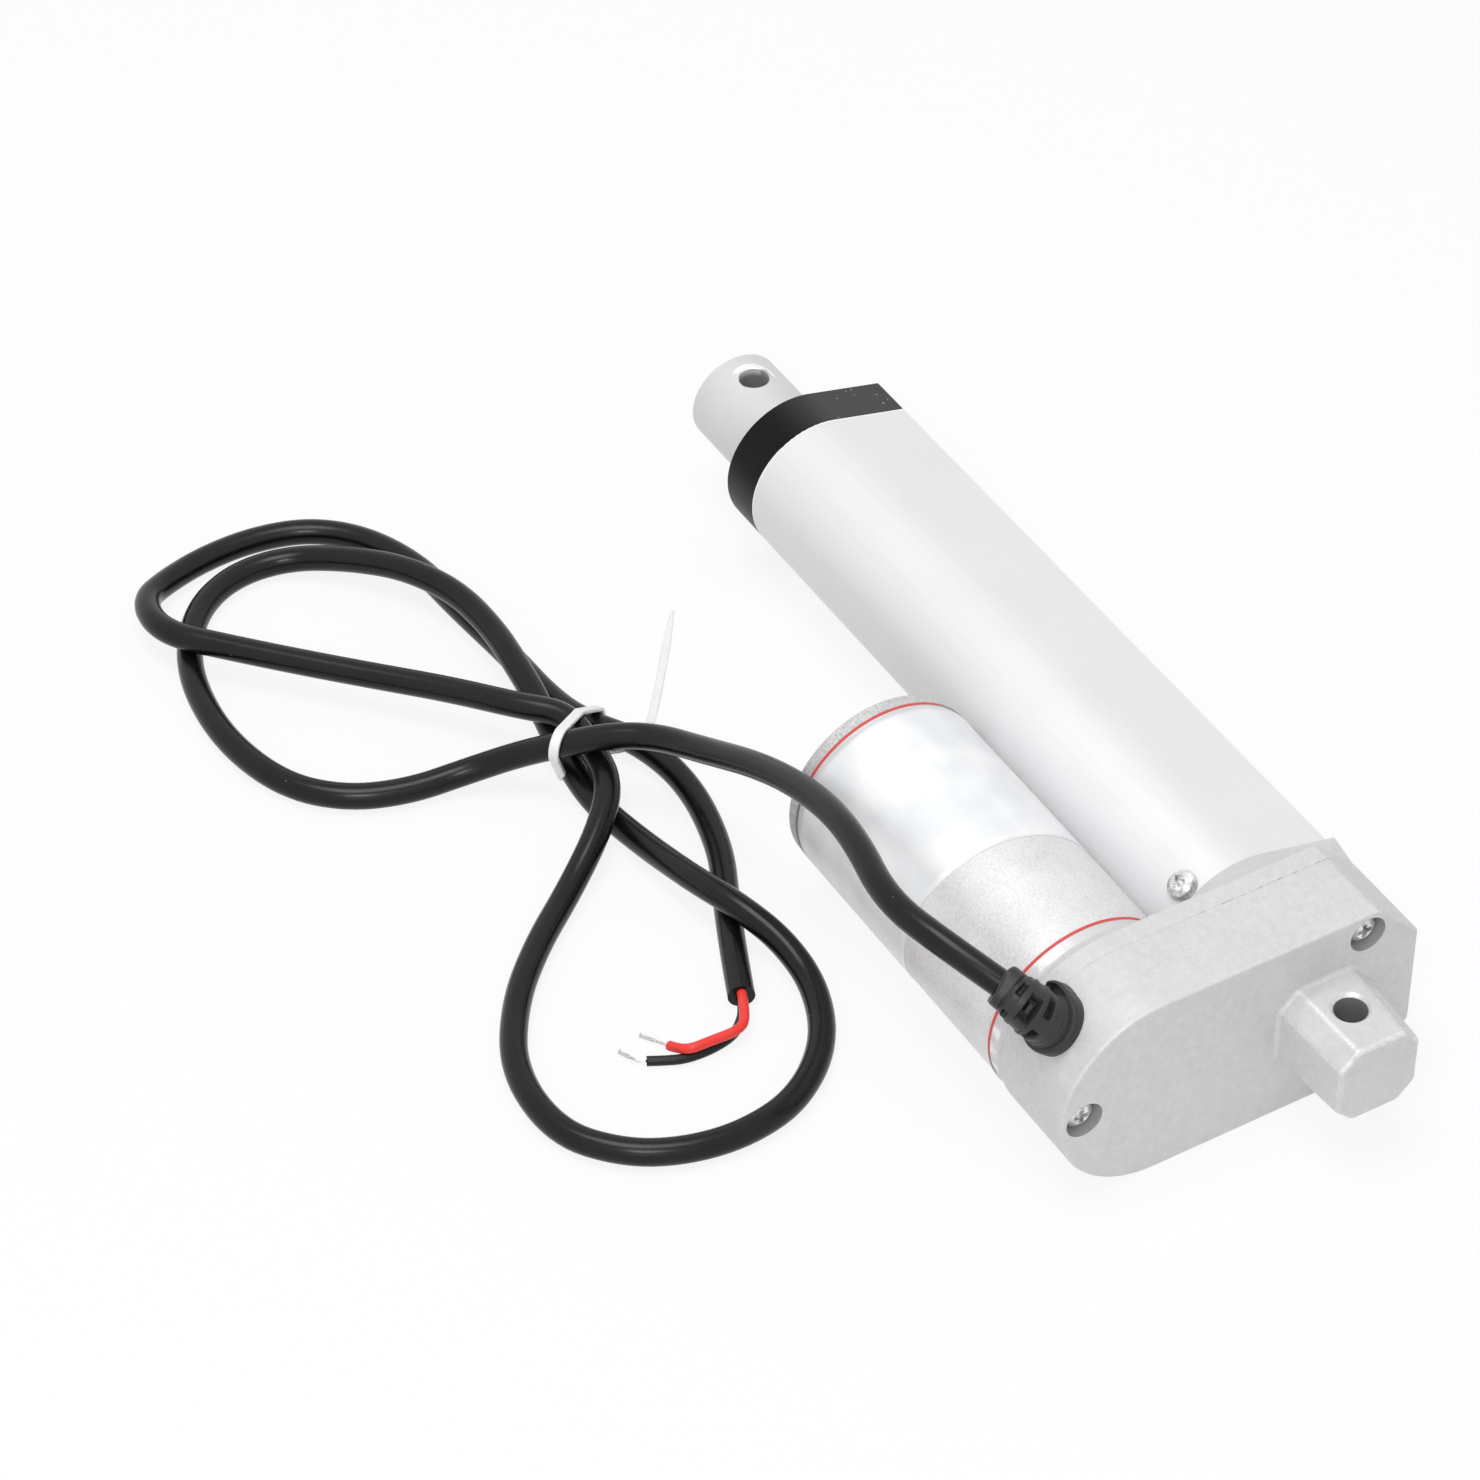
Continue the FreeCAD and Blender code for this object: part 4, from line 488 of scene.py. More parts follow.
def moulded(name, colour, rough, grain_size=0.5 * MM, depth=0.02 * MM, lift=1.25, specular=0.5):
    """Moulded plastic or rubber: a fine skin and uneven gloss. Its pale spots are lift times as bright as
    the rest."""
    made = Finish(name, specular_ior_level=specular)
    grain = made.noise(grain_size, detail=2.0)
    cloud = made.noise(8.0 * MM)
    shade = made.between(grain * 0.4 + cloud * 0.6, 0.3, 0.7)
    first = (*colour, 1.0)
    second = (*(min(1.0, part * lift) for part in colour), 1.0)
    made.set("Base Color", made.mix(shade, first, second))
    made.set("Roughness", rough + 0.12 * (cloud - 0.5))
    made.bump(grain, depth, 0.4)
    return made.material


def cap_plastic():
    """Black moulded cap: a fine skin, with painted sheen making it greyer on its side and on its upper
    leaning flat, which has pale specks."""
    made = Finish("black_cap", specular_ior_level=0.12)
    grain = made.noise(0.4 * MM, detail=2.0)
    cloud = made.noise(8.0 * MM)
    base = made.mix(made.between(grain * 0.4 + cloud * 0.6, 0.3, 0.7), grey(0.004), grey(0.006))
    # painted sheen: faces that don't face up are made greyer
    rise = made.axis("z", made.facing())
    base = made.mix(made.between(rise, 0.05, 0.45), grey(0.026), base)
    top = made.between(made.axis("z"), 4.0 * MM, 9.0 * MM)
    away = made.axis("y") * -1.0
    upper = top * made.between(away, -7.0 * MM, 6.0 * MM)
    flat = top * made.between(away, 2.0 * MM, 6.0 * MM)
    size = made.noise(1.6 * MM) * 0.12
    speck = made.below(made.cells(2.0 * MM) - size, 0.0, 0.05)
    # painted sheen: the upper leaning flat is made paler
    paler = made.mix(upper * 0.7, base, grey(0.085, (1.0, 0.95, 0.96)))
    made.set("Base Color", made.mix(speck * (0.03 + 0.97 * flat), paler, grey(0.36)))
    made.set("Roughness", 0.40 + 0.12 * (cloud - 0.5))
    made.bump(grain, 0.02 * MM, 0.4)
    return made.material


def gasket_rubber(name, low, high, near):
    """Red gasket, darker towards its lower side and towards the tube: dark below low, fully red above
    high, and dark where y is under near."""
    made = Finish(name)
    grain = made.noise(0.5 * MM, detail=2.0)
    red = made.mix(grain, (0.60, 0.065, 0.06, 1.0), (0.72, 0.10, 0.09, 1.0))
    red_share = made.between(made.axis("z") + (grain - 0.5) * (2.0 * MM), low, high)
    red_share = red_share * made.between(made.axis("y"), near, near + 4.0 * MM)
    made.set("Base Color", made.mix(red_share, (0.24, 0.20, 0.20, 1.0), red))
    made.set("Roughness", 0.44 + 0.12 * grain)
    made.bump(grain, 0.02 * MM, 0.4)
    return made.material


def cord_vinyl():
    """Black cord jacket: smooth, with fine scuffs, uneven gloss and a little dust."""
    made = Finish("cord_jacket", specular_ior_level=0.28)
    cloud = made.noise(9.0 * MM)
    scuff = made.noise(0.8 * MM, detail=3.0)
    speck = made.below(made.cells(5.0 * MM), 0.02, 0.04)
    base = made.mix(made.between(cloud * 0.7 + scuff * 0.3, 0.3, 0.7), grey(0.004), grey(0.007))
    made.set("Base Color", made.mix(speck * 0.35, base, grey(0.4)))
    made.set("Roughness", 0.20 + 0.16 * (cloud - 0.5) + 0.10 * scuff)
    made.bump(scuff, 0.03 * MM, 0.25)
    return made.material


def nylon():
    """Natural nylon: white, slightly see-through."""
    made = Finish("natural_nylon", subsurface_weight=0.35, subsurface_scale=0.6 * MM)
    cloud = made.noise(3.0 * MM)
    made.set("Base Color", made.mix(cloud, (0.86, 0.86, 0.87, 1.0), (0.95, 0.95, 0.95, 1.0)))
    made.set("Roughness", 0.32 + 0.15 * cloud)
    made.bump(made.noise(0.4 * MM), 0.02 * MM, 0.3)
    return made.material


def laminate(name, colour):
    """Pressed board with a woven look."""
    made = Finish(name)
    warp = made.noise(0.3 * MM, stretch=(8.0, 1.0, 1.0))
    weft = made.noise(0.3 * MM, stretch=(1.0, 1.0, 8.0))
    dark = (*(part * 0.7 for part in colour), 1.0)
    made.set("Base Color", made.mix(warp * 0.5 + weft * 0.5, dark, (*colour, 1.0)))
    made.set("Roughness", 0.4 + 0.2 * warp)
    made.bump(warp + weft, 0.02 * MM, 0.3)
    return made.material


# Each finish, and the solids that it goes on

FINISHES = [
    (casting(), ["rear_cover"]),
    (end_cap_metal(), ["motor_end_cap"]),
    (machined_casting(), ["front_housing"]),
    (anodised(), ["outer_tube"]),
    (rod_metal(), ["extension_rod", "rod_plug"]),
    (can_metal(), ["motor_can"]),
    (
        plated(
            "bright_zinc", 0.97, COOL, rough=0.14,
            facets=0.9 * MM, depth=0.14 * MM, metallic=0.65, dull=0.42,
        ),
        ["cover_screws", "tube_screws", "tie_bolts"],
    ),
    (plated("black_oxide", 0.06, rough=0.4), ["cap_screws"]),
    (
        plated("ground_steel", 0.62, COOL, rough=0.26),
        [
            "lead_screw", "bearing_inner_ring", "bearing_outer_ring", "bearing_balls", "bearing_circlip",
            "idler_axle", "motor_shaft", "driven_gear", "idler_gear",
        ],
    ),
    (plated("core_sheets", 0.30, rough=0.45), ["armature_core"]),
    (moulded("sintered_ferrite", (0.05, 0.05, 0.053), 0.6, grain_size=0.3 * MM), ["magnets"]),
    (
        plated("sintered_bronze", 0.62, (1.0, 0.72, 0.38), rough=0.38),
        ["rear_bush", "shaft_bush_front", "shaft_bush_rear", "motor_pinion"],
    ),
    (plated("copper", 0.80, (1.0, 0.50, 0.30), rough=0.3), ["armature_windings", "commutator"]),
    (moulded("acetal", (0.78, 0.77, 0.73), 0.42, lift=1.08), ["drive_nut", "rod_guide_bush"]),
    (cap_plastic(), ["front_cap"]),
    (gasket_rubber("front_gasket_red", low=-6.0 * MM, high=2.0 * MM, near=0.0), ["front_gasket"]),
    (gasket_rubber("rear_gasket_red", low=4.0 * MM, high=8.0 * MM, near=22.0 * MM), ["rear_gasket"]),
    (moulded("wiper_rubber", (0.02, 0.02, 0.02), 0.6), ["rod_wiper"]),
    (laminate("green_board", (0.04, 0.22, 0.09)), ["switch_board"]),
    (laminate("brown_board", (0.26, 0.14, 0.06)), ["brush_plate"]),
    (moulded("carbon", (0.03, 0.03, 0.03), 0.55), ["carbon_brushes"]),
    (moulded("switch_case", (0.03, 0.03, 0.032), 0.5), ["retract_switch", "extend_switch"]),
    (moulded("plunger", (0.7, 0.66, 0.6), 0.45), ["retract_plunger", "extend_plunger"]),
]
GLAND_RUBBER = moulded(
    "gland_rubber", (0.026, 0.0255, 0.0265), 0.42, grain_size=0.35 * MM, depth=0.03 * MM, specular=0.35
)
JACKET = cord_vinyl()
RED_VINYL = moulded("red_vinyl", (0.86, 0.05, 0.04), 0.34, lift=1.12, specular=0.35)
BLACK_VINYL = moulded("black_vinyl", (0.013, 0.013, 0.0135), 0.34, specular=0.25)
TINNED = plated("tinned_copper", 0.90, (1.0, 0.995, 0.98))
NYLON = nylon()
FOIL = foil()

for material, names in FINISHES:
    for name in names:
        slots = frame["nodes"][name].data.materials
        slots.clear()
        slots.append(material)


# Mesh building

UP = np.array([0.0, 0.0, 1.0])


def quads(here, ahead):
    """Faces between rows of point numbers and the rows ahead of them. Columns close on themselves."""
    corners = [here, np.roll(here, -1, -1), np.roll(ahead, -1, -1), ahead]
    return np.stack(corners, -1).reshape(-1, 4).tolist()


def surface(name, grid, material, wrap_rows=False, close_ends=False):
    """A smooth mesh over a grid of points, rows by columns. Columns always close on themselves; rows do if
    asked, and where they don't, a flat face can close each end."""
    rows, columns = grid.shape[:2]
    index = np.arange(rows * columns).reshape(rows, columns)
    last = rows if wrap_rows else rows - 1
    faces = quads(index[:last], np.roll(index, -1, axis=0)[:last])
    if close_ends:
        faces.append(index[0][::-1].tolist())
        faces.append(index[-1].tolist())
    return mesh_piece(name, grid.reshape(-1, 3), faces, material)


def mesh_piece(name, points, faces, material):
    """A linked mesh object whose faces point outwards."""
    mesh = bpy.data.meshes.new(name)
    mesh.from_pydata(points.tolist(), [], faces)
    work = bmesh.new()
    work.from_mesh(mesh)
    bmesh.ops.recalc_face_normals(work, faces=work.faces)
    work.to_mesh(mesh)
    work.free()
    mesh.polygons.foreach_set("use_smooth", [True] * len(mesh.polygons))
    mesh.materials.append(material)
    made = bpy.data.objects.new(name, mesh)
    bpy.context.scene.collection.objects.link(made)
    return made


def unit(vectors):
    """The vectors, each brought to a length of 1."""
    return vectors / np.linalg.norm(vectors, axis=-1, keepdims=True)


def smooth_line(points):
    """A curve of one smooth spline with the points, in millimetres, as its control points."""
    line = bpy.data.curves.new("line", "CURVE")
    line.dimensions = "3D"
    spline = line.splines.new("NURBS")
    spline.points.add(len(points) - 1)
    spline.points.foreach_set("co", np.insert(np.array(points) * MM, 3, 1.0, axis=1).ravel())
    spline.order_u = SPLINE_ORDER
    spline.use_endpoint_u = True
    spline.resolution_u = SPLINE_STEPS
    return line


def flexible(name, points, diameter, material):
    """A round cord along a smooth spline."""
    line = smooth_line(points)
    line.name = name
    line.bevel_depth = diameter / 2
    line.bevel_resolution = ROUND_STEPS
    line.use_fill_caps = True
    line.materials.append(material)
    made = bpy.data.objects.new(name, line)
    bpy.context.scene.collection.objects.link(made)
    return made


def spline_points(points):
    """The points along a smooth spline, read back from a curve with no thickness."""
    holder = bpy.data.objects.new("reader", smooth_line(points))
    mesh = bpy.data.meshes.new_from_object(holder)
    read = np.zeros(len(mesh.vertices) * 3)
    mesh.vertices.foreach_get("co", read)
    bpy.data.meshes.remove(mesh)
    bpy.data.objects.remove(holder)
    return read.reshape(-1, 3)


def sweep(path, side, up, outline):
    """Grid of an outline's (side, up) points carried along a path. Outline may change along it."""
    return path[:, None] + side[:, None] * outline[..., :1] + up[:, None] * outline[..., 1:]


# Motor label: a film on the can

# where it starts and ends round the can, in degrees
LABEL_ANGLES = (-78.0, 152.0)
# how far its front edge lies from the can's start, the angle where that holds, and its lean per degree
LABEL_FRONT = 26.4 * MM
LABEL_MIDDLE = 50.0
LABEL_LEAN = 0.0316 * MM
LABEL_REAR_GAP = 0.5 * MM
# the film's inner and outer face over the can
LABEL_LIFTS = (0.02 * MM, 0.11 * MM)
LABEL_ROWS = 25
LABEL_COLUMNS = 121


def label_film():
    """The film's inner and outer face are a hair over the can's radius, and run from the leaning front edge
    to a straight rear one."""
    turns = np.radians(np.linspace(*LABEL_ANGLES, LABEL_COLUMNS))
    shares = np.linspace(0.0, 1.0, LABEL_ROWS)
    front = CAN_START + LABEL_FRONT - (np.degrees(turns) - LABEL_MIDDLE) * LABEL_LEAN
    rear = np.full_like(front, CAN_END - LABEL_REAR_GAP)
    x = front + (rear - front) * shares[:, None]
    layers = []
    for lift in LABEL_LIFTS:
        radius = CAN_RADIUS + lift
        y = np.broadcast_to(MOTOR_Y + radius * np.cos(turns), x.shape)
        z = np.broadcast_to(radius * np.sin(turns), x.shape)
        layers.append(np.stack([x, y, z], -1))
    across = np.concatenate([layers[1], layers[0][:, ::-1]], axis=1)
    made = surface("motor_label", across, FOIL, close_ends=True)
    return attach(made, "casing")


# Cord gland: a flange, then a body of rings and slotted necks that bends towards the motor

GLAND_OUT = np.array([0.0, math.cos(GLAND_ANGLE), math.sin(GLAND_ANGLE)])
GLAND_ALONG = np.array([1.0, 0.0, 0.0])
GLAND_SIDE = np.cross(GLAND_OUT, GLAND_ALONG)
GLAND_BASE = np.array([GLAND_X, CASING_END_Y, 0.0]) + GLAND_OUT * CASING_HALF
# how far along the gland's line, and the radius there: flange, steps, rings with slots between, end ring
GLAND_PROFILE = np.array([
    (0.0, 6.0), (1.3, 6.0), (1.7, 5.9), (1.95, 5.7), (2.05, 5.45), (2.06, 5.4), (2.08, 5.15), (2.10, 5.1),
    (2.9, 5.05), (3.0, 4.9), (3.6, 4.88), (3.7, 4.75), (5.75, 4.7), (5.9, 4.85), (6.4, 4.85), (6.55, 4.6),
    (8.0, 4.5), (8.15, 4.65), (8.9, 4.6), (9.05, 4.35), (9.9, 4.3), (10.1, 4.15), (10.6, 3.95),
    (10.8, 4.15), (11.0, 4.3), (12.4, 4.3), (12.8, 4.15), (13.1, 3.7), (13.16, 2.5),
]) * MM
# rows of slots, and a hump in the second row's: start and end along the line, depth, then where the first
# lies round the line and its half width in degrees, and how many there are
GLAND_SLOTS = [
    (4.75, 5.75, 1.8, -138.0, 25.0, 4),
    (6.6, 8.05, 2.2, -172.0, 38.0, 2),
    (6.95, 7.75, -1.1, -170.0, 20.0, 2),
    (9.1, 9.8, 1.4, -141.0, 18.0, 4),
]
# lumps on the end ring: start and end along the line, height, and how many, and where the first lies
GLAND_LUMPS = (10.8, 12.9, 0.3, 4)
GLAND_LUMP_ANGLE = math.radians(-121.0)
# how far the end ring's rim reaches forward beside the first lump and hangs back a quarter turn from it,
# and where along the line that starts and is whole
GLAND_RIM = 0.45 * MM
GLAND_RIM_RUN = (11.4 * MM, 12.6 * MM)
# a lobe on the flange: how far out it reaches, then where it lies and its half width, in degrees
GLAND_LOBE_REACH = 1.2 * MM
GLAND_LOBE = (-62.0, 24.0)
# the lobe's share at its low end, and from where to where round its middle it grows from that, in degrees
GLAND_LOBE_LOW = 0.1
GLAND_LOBE_GROWTH = (-24.0, 14.0)
# a pocket in the flange's face: its depth, then where it lies and its half width, in degrees
GLAND_FACE = (2.055 * MM, 2.105 * MM)
GLAND_POCKET_DEPTH = 1.4 * MM
GLAND_POCKET = (-60.0, 25.0)
# how deep the pocket cuts into the step over the flange, and where along the line that fades
GLAND_STEP_CUT = 0.7 * MM
GLAND_STEP_FADE = (3.4 * MM, 4.4 * MM)
# half the width of a slot's soft edge along the line, in millimetres, and round it, in degrees
GLAND_SOFT_RUN = 0.12
GLAND_SOFT_TURN = 3.0
GLAND_ROWS = 210
GLAND_COLUMNS = 144


def ease(value, low, high):
    """0 below low, 1 above high, smooth between."""
    share = np.clip((value - low) / (high - low), 0.0, 1.0)
    return share * share * (3 - 2 * share)


def wedge(spin, middle, half, count=1):
    """1 within half of any of count evenly spaced directions, and 0 just past it."""
    pitch = 360.0 / count
    away = np.abs((np.degrees(spin) - middle + pitch / 2) % pitch - pitch / 2)
    return 1.0 - ease(away, half - GLAND_SOFT_TURN, half + GLAND_SOFT_TURN)


def stretch(length, start, end):
    """1 between start and end along the gland's line, in millimetres, with soft ends."""
    first, last = (
        ease(length, (place - GLAND_SOFT_RUN) * MM, (place + GLAND_SOFT_RUN) * MM) for place in (start, end)
    )
    return (first - last)[:, None]


def gland_line(length):
    """Straight up from the casing, an arc, then straight, drifting a little sideways. Gives the place at
    each length along it, the way it runs there and the way that its inner side leans."""
    bent = GLAND_BEND * GLAND_TURN
    turned = np.clip((length - GLAND_RISE) / bent, 0.0, 1.0) * GLAND_TURN
    rise = np.minimum(length, GLAND_RISE) + GLAND_BEND * np.sin(turned)
    reach = GLAND_BEND * (1 - np.cos(turned))
    past = np.maximum(length - GLAND_RISE - bent, 0.0)
    way = np.cos(turned)[:, None] * GLAND_OUT + np.sin(turned)[:, None] * GLAND_ALONG
    lean = np.cos(turned)[:, None] * GLAND_ALONG - np.sin(turned)[:, None] * GLAND_OUT
    path = GLAND_BASE + rise[:, None] * GLAND_OUT + reach[:, None] * GLAND_ALONG + past[:, None] * way
    path += GLAND_DRIFT * ease(length, GLAND_RISE, GLAND_RISE + bent)[:, None] * GLAND_SIDE
    return path, way, lean


def gland_spread(length, spin):
    """How far the skin lies from the line: the profile's radius, which drops in the slots, swells and
    shrinks with a cosine round the end ring, grows in the lobe and drops over the pocket."""
    radius = np.interp(length, GLAND_PROFILE[:, 0], GLAND_PROFILE[:, 1])
    spread = np.repeat(radius[:, None], len(spin), axis=1)
    for start, end, depth, middle, half, count in GLAND_SLOTS:
        spread -= depth * MM * stretch(length, start, end) * wedge(spin, middle, half, count)
    start, end, height, count = GLAND_LUMPS
    spread += height * MM * stretch(length, start, end) * np.cos(count * (spin - GLAND_LUMP_ANGLE))
    flange = length[:, None] < sum(GLAND_FACE) / 2
    growth = ease(np.degrees(spin) - GLAND_LOBE[0], *GLAND_LOBE_GROWTH)
    lobe = wedge(spin, *GLAND_LOBE) * (GLAND_LOBE_LOW + (1.0 - GLAND_LOBE_LOW) * growth)
    spread += GLAND_LOBE_REACH * flange * lobe
    step = ~flange * (1.0 - ease(length, *GLAND_STEP_FADE))[:, None]
    return spread - GLAND_STEP_CUT * step * wedge(spin, *GLAND_POCKET)


def gland():
    """A ring of the skin's spread at each place along the line. The flange's face sinks at its pocket, the
    end ring's rim waves with a cosine of twice the turn, and the foot follows the casing's round end."""
    even = np.linspace(0, GLAND_PROFILE[-1, 0], GLAND_ROWS)
    length = np.unique(np.concatenate([GLAND_PROFILE[:, 0], even]))
    spin = np.linspace(-np.pi, np.pi, GLAND_COLUMNS, endpoint=False)
    path, way, lean = gland_line(length)
    spread = gland_spread(length, spin)
    outline = np.stack([spread * np.cos(spin), spread * np.sin(spin)], -1)
    grid = sweep(path, lean, np.broadcast_to(GLAND_SIDE, path.shape), outline)
    face = (length > GLAND_FACE[0]) & (length < GLAND_FACE[1])
    sunk = GLAND_POCKET_DEPTH * face[:, None] * wedge(spin, *GLAND_POCKET)
    grid -= sunk[..., None] * GLAND_OUT
    wave = GLAND_RIM * ease(length, *GLAND_RIM_RUN)[:, None] * np.cos(2 * (spin - GLAND_LUMP_ANGLE))
    grid += wave[..., None] * way[:, None]
    foot = np.sqrt(CASING_HALF**2 - outline[0, :, 1] ** 2) - CASING_HALF - GLAND_SINK
    grid[0] += foot[:, None] * GLAND_OUT
    made = surface("cord_gland_ribbed", grid, GLAND_RUBBER, close_ends=True)
    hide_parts("cord_gland")
    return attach(made, "casing")


# Cable tie


def tie_band():
    """The point furthest out in each direction round the strands, carrying a rounded strap section."""
    facing = np.linspace(0, 2 * np.pi, BAND_ROWS, endpoint=False)
    out = np.stack([np.cos(facing), np.sin(facing)], -1)
    nearest = np.argmax(TIE_STRANDS @ out.T, axis=0)
    flat = TIE_STRANDS[nearest] + out * (CORD_DIAMETER / 2 + TIE_SLACK + TIE_THICKNESS / 2)
    path = TIE_CENTRE + flat[:, :1] * TIE_ACROSS + flat[:, 1:] * UP
    outward = out[:, :1] * TIE_ACROSS + out[:, 1:] * UP
    along = np.broadcast_to(np.cross(UP, TIE_ACROSS), path.shape)
    return sweep(path, along, outward, strap_outline())


def blunted(value, power):
    """A sine or cosine raised to a low power, with its sign kept, which squares off a circle."""
    return np.sign(value) * np.abs(value) ** power


def strap_outline():
    """The strap's section: a rectangle with rounded corners, as a superellipse."""
    angle = np.linspace(0, 2 * np.pi, STRAP_POINTS, endpoint=False) + np.pi / STRAP_POINTS
    side = blunted(np.cos(angle), STRAP_BLUNT) * TIE_WIDTH / 2
    rise = blunted(np.sin(angle), STRAP_BLUNT) * TIE_THICKNESS / 2
    return np.stack([side, rise], -1)


def tie_tail(level):
    """A strap along the floor with small teeth across its upper face and a narrowing end."""
    points = [(x, y, level / MM) for x, y in TIE_TAIL]
    rough = spline_points(points)
    run = np.insert(np.cumsum(np.linalg.norm(np.diff(rough, axis=0), axis=1)), 0, 0.0)
    even = np.linspace(0, run[-1], TAIL_ROWS)
    path = np.stack([np.interp(even, run, rough[:, axis]) for axis in range(3)], -1)
    way = unit(np.gradient(path, axis=0))
    up = np.broadcast_to(UP, path.shape)
    side = np.cross(up, way)
    outline = np.repeat(strap_outline()[None], len(path), axis=0)
    left = run[-1] - even
    outline[..., 0] *= (TAIL_TIP + (TAIL_FULL - TAIL_TIP) * np.clip(left / TAIL_TAPER, 0, 1))[:, None]
    tooth = TOOTH_DEPTH * (np.sin(even / TOOTH_PITCH * 2 * np.pi) > 0)
    outline[..., 1] -= np.where(outline[..., 1] > 0, tooth[:, None], 0.0)
    return sweep(path, side, up, outline)


def tie_head(level):
    """A blunt block, as a superellipsoid, across the strap."""
    size = TIE_HEAD / 2
    tall = np.linspace(-np.pi / 2, np.pi / 2, HEAD_ROWS)[:, None]
    turn = np.linspace(0, 2 * np.pi, HEAD_COLUMNS, endpoint=False)[None]
    reach = blunted(np.cos(tall), HEAD_BLUNT)
    across = size[0] * reach * blunted(np.cos(turn), HEAD_BLUNT)
    along = size[1] * reach * blunted(np.sin(turn), HEAD_BLUNT)
    rise = size[2] * blunted(np.sin(tall), HEAD_BLUNT) * np.ones_like(turn)
    centre = TIE_CENTRE + TIE_HEAD_ACROSS * TIE_ACROSS + (level + size[2] - TIE_THICKNESS / 2) * UP
    lengthways = np.cross(UP, TIE_ACROSS)
    return centre + across[..., None] * TIE_ACROSS + along[..., None] * lengthways + rise[..., None] * UP


def cable_tie():
    """Band, tail and head, with the tail and head at the level of the band's lowest run."""
    level = TIE_STRANDS[:, 1].min() - CORD_DIAMETER / 2 - TIE_SLACK - TIE_THICKNESS / 2
    made = [
        surface("cable_tie_band", tie_band(), NYLON, wrap_rows=True),
        surface("cable_tie_tail", tie_tail(level), NYLON, close_ends=True),
        surface("cable_tie_head", tie_head(level), NYLON, close_ends=True),
    ]
    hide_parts("cable_tie")
    for piece in made:
        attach(piece, "casing")
    return made


# Cord, cores and bare strands


def bare_strands(name, route):
    """Fine strands that wind round the core's line and fan out a little towards their tips."""
    line = spline_points(route)
    share = np.linspace(0, 1, len(line))[:, None]
    way = unit(np.gradient(line, axis=0))
    side = unit(np.cross(way, UP))
    rise = np.cross(side, way)
    ring = np.arange(STRAND_COUNT)
    reach = BUNDLE_RADIUS * np.sqrt((ring + 0.5) / STRAND_COUNT)
    angle = ring * STRAND_STEP + BUNDLE_TWIST * share
    fan = reach * (1 + BUNDLE_FAN * share**2)
    corner = np.linspace(0, 2 * np.pi, STRAND_SIDES, endpoint=False)
    outline = STRAND_RADIUS * np.stack([np.cos(corner), np.sin(corner)], -1)
    strands = []
    for strand in range(STRAND_COUNT):
        offset = side * (fan * np.cos(angle))[:, [strand]] + rise * (fan * np.sin(angle))[:, [strand]]
        strands.append(sweep(line + offset, side, rise, outline))
    points = np.stack(strands)
    points[..., 2] = np.maximum(points[..., 2], FLOOR_Z + STRAND_FLOOR_GAP)
    index = np.arange(points.size // 3).reshape(points.shape[:3])
    faces = quads(index[:, :-1], index[:, 1:]) + index[:, 0].tolist() + index[:, -1].tolist()
    made = mesh_piece(name, points.reshape(-1, 3), faces, TINNED)
    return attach(made, "casing")


def cords(gland_piece, tie_pieces):
    """The jacket on its route, and the two cores with their bare strands where it ends."""
    red = flexible("red_core", RED_ROUTE, WIRE_DIAMETER, RED_VINYL)
    black = flexible("black_core", BLACK_ROUTE, WIRE_DIAMETER, BLACK_VINYL)
    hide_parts("red_wire")
    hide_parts("black_wire")
    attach(red, "casing")
    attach(black, "casing")
    ends = [bare_strands(f"{colour}_strands", route) for colour, route in STRAND_ROUTES.items()]
    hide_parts("wire_strands")
    jacket = flexible("power_cord_jacket", CORD_ROUTE, CORD_DIAMETER, JACKET)
    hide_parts("power_cord")
    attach(jacket, "casing")


label_film()
cords(gland(), cable_tie())


# Stage, light and camera

AMBIENT = 0.52
FLOOR_WHITE = 0.85
FLOOR_HALF = 3.0
# each lamp's name, place, the point that it faces, width and power
LAMPS = [
    ("top_lamp", (0.16, 0.18, 1.05), (0.14, 0.06, 0.0), 0.5, 4.2),
    ("side_lamp", (-0.9, 0.8, 0.6), (0.10, 0.04, 0.0), 0.6, 0.8),
    ("key_lamp", (-0.58, 0.58, 0.95), (0.12, 0.06, 0.0), 0.32, 3.5),
]


def seen(tree):
    """1 for rays from the camera and for those that a mirror or a clear piece sends on, otherwise 0."""
    rays = tree.nodes.new("ShaderNodeLightPath")
    kinds = ("Camera", "Glossy", "Transmission")
    first, *others = (Signal(tree, rays.outputs[f"Is {kind} Ray"]) for kind in kinds)
    for other in others:
        first = first.math("MAXIMUM", other)
    return first


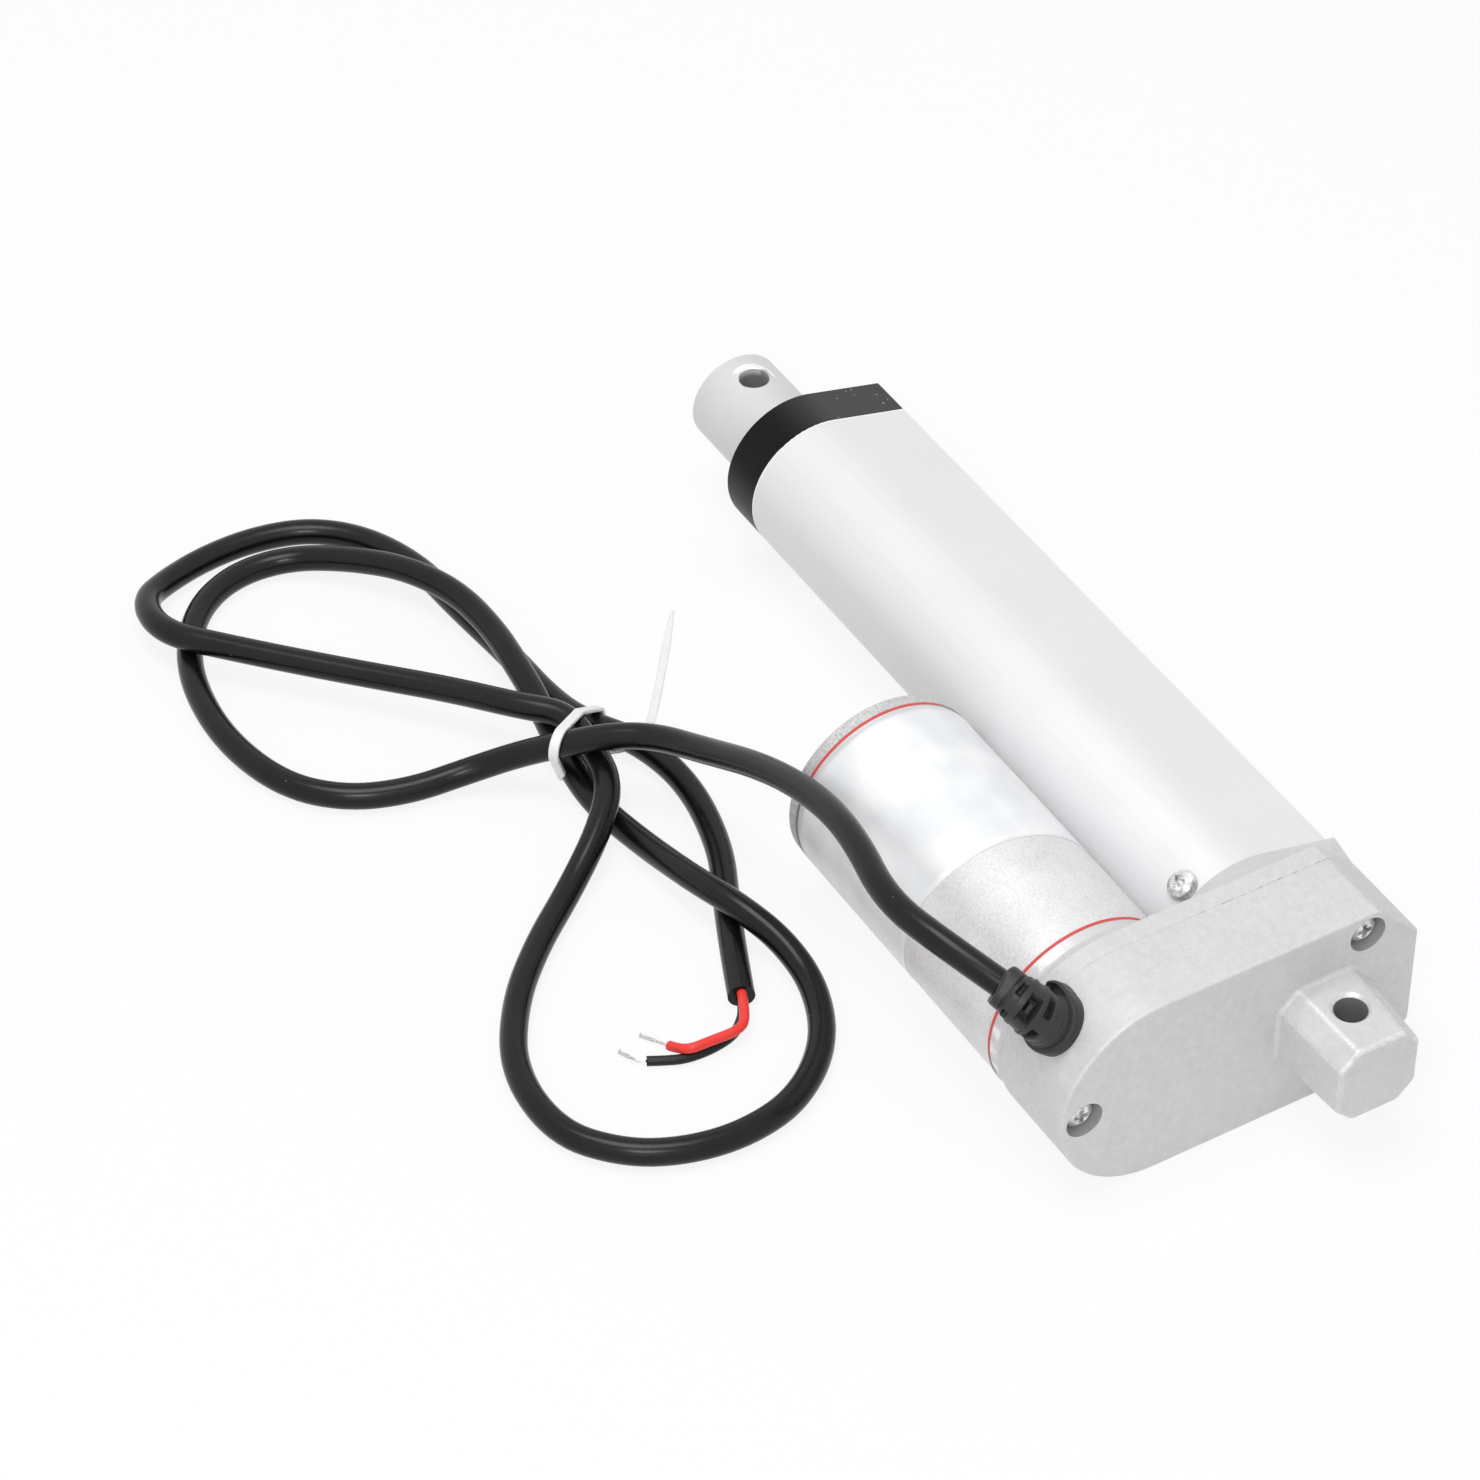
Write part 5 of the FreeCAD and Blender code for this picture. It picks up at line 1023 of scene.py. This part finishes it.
def floor():
    """A wide pale floor. Most of what is seen of it is plain white, and the rest keeps the shadow."""
    corners = [(-1, -1), (1, -1), (1, 1), (-1, 1)]
    points = np.array([(FLOOR_HALF * x, FLOOR_HALF * y, FLOOR_Z) for x, y in corners])
    paint = Finish("pale_floor", roughness=0.9, specular_ior_level=0.1)
    paint.set("Base Color", grey(0.92))
    plain = paint.node("ShaderNodeEmission", None, {"Color": grey(1.0), "Strength": 1.0})
    lit = Signal(paint.tree, paint.shader.outputs[0])
    both = paint.node("ShaderNodeMixShader", None, {0: FLOOR_WHITE * seen(paint.tree), 1: lit, 2: plain})
    feed(paint.tree, paint.tree.nodes["Material Output"].inputs, {"Surface": both})
    made = mesh_piece("floor", points, [[0, 1, 2, 3]], paint.material)


def sky():
    """White where it is seen or mirrored, and a softer level as light."""
    world = bpy.data.worlds.new("studio")
    bpy.context.scene.world = world
    world.use_nodes = True
    tree = world.node_tree
    strength = AMBIENT + (1.0 - AMBIENT) * seen(tree)
    feed(tree, tree.nodes["Background"].inputs, {"Color": grey(1.0), "Strength": strength})


def lamp(name, place, target, width, power):
    """A square soft lamp that faces a point."""
    light = bpy.data.lights.new(name, "AREA")
    light.shape = "SQUARE"
    light.size = width
    light.energy = power
    made = bpy.data.objects.new(name, light)
    made.location = place
    made.rotation_euler = (Vector(target) - Vector(place)).to_track_quat("-Z", "Y").to_euler()
    bpy.context.scene.collection.objects.link(made)


def camera():
    """The photograph's camera: turned about +Z, raised, and rolled a little in its own plane."""
    cosine, sine = math.cos(CAMERA_TURN), math.sin(CAMERA_TURN)
    right = Vector((-cosine, -sine, 0.0))
    level = Vector((-sine, cosine, 0.0))
    back = math.cos(CAMERA_ELEVATION) * level + math.sin(CAMERA_ELEVATION) * Vector((0, 0, 1))
    up = back.cross(right)
    rolled = math.cos(CAMERA_ROLL) * right + math.sin(CAMERA_ROLL) * up
    upright = back.cross(rolled)
    lens = bpy.data.cameras.new("camera")
    lens.sensor_width = SENSOR_MM
    lens.lens = FOCAL_PIXELS / IMAGE_PIXELS * SENSOR_MM
    lens.clip_start = 0.05
    lens.clip_end = 20.0
    made = bpy.data.objects.new("camera", lens)
    turn = Matrix((rolled, upright, back)).transposed().to_4x4()
    made.matrix_world = Matrix.Translation(CAMERA_PLACE) @ turn
    bpy.context.scene.collection.objects.link(made)
    bpy.context.scene.camera = made


floor()
sky()
for name, place, target, width, power in LAMPS:
    lamp(name, place, target, width, power)
camera()
bpy.context.scene.view_settings.view_transform = "Standard"
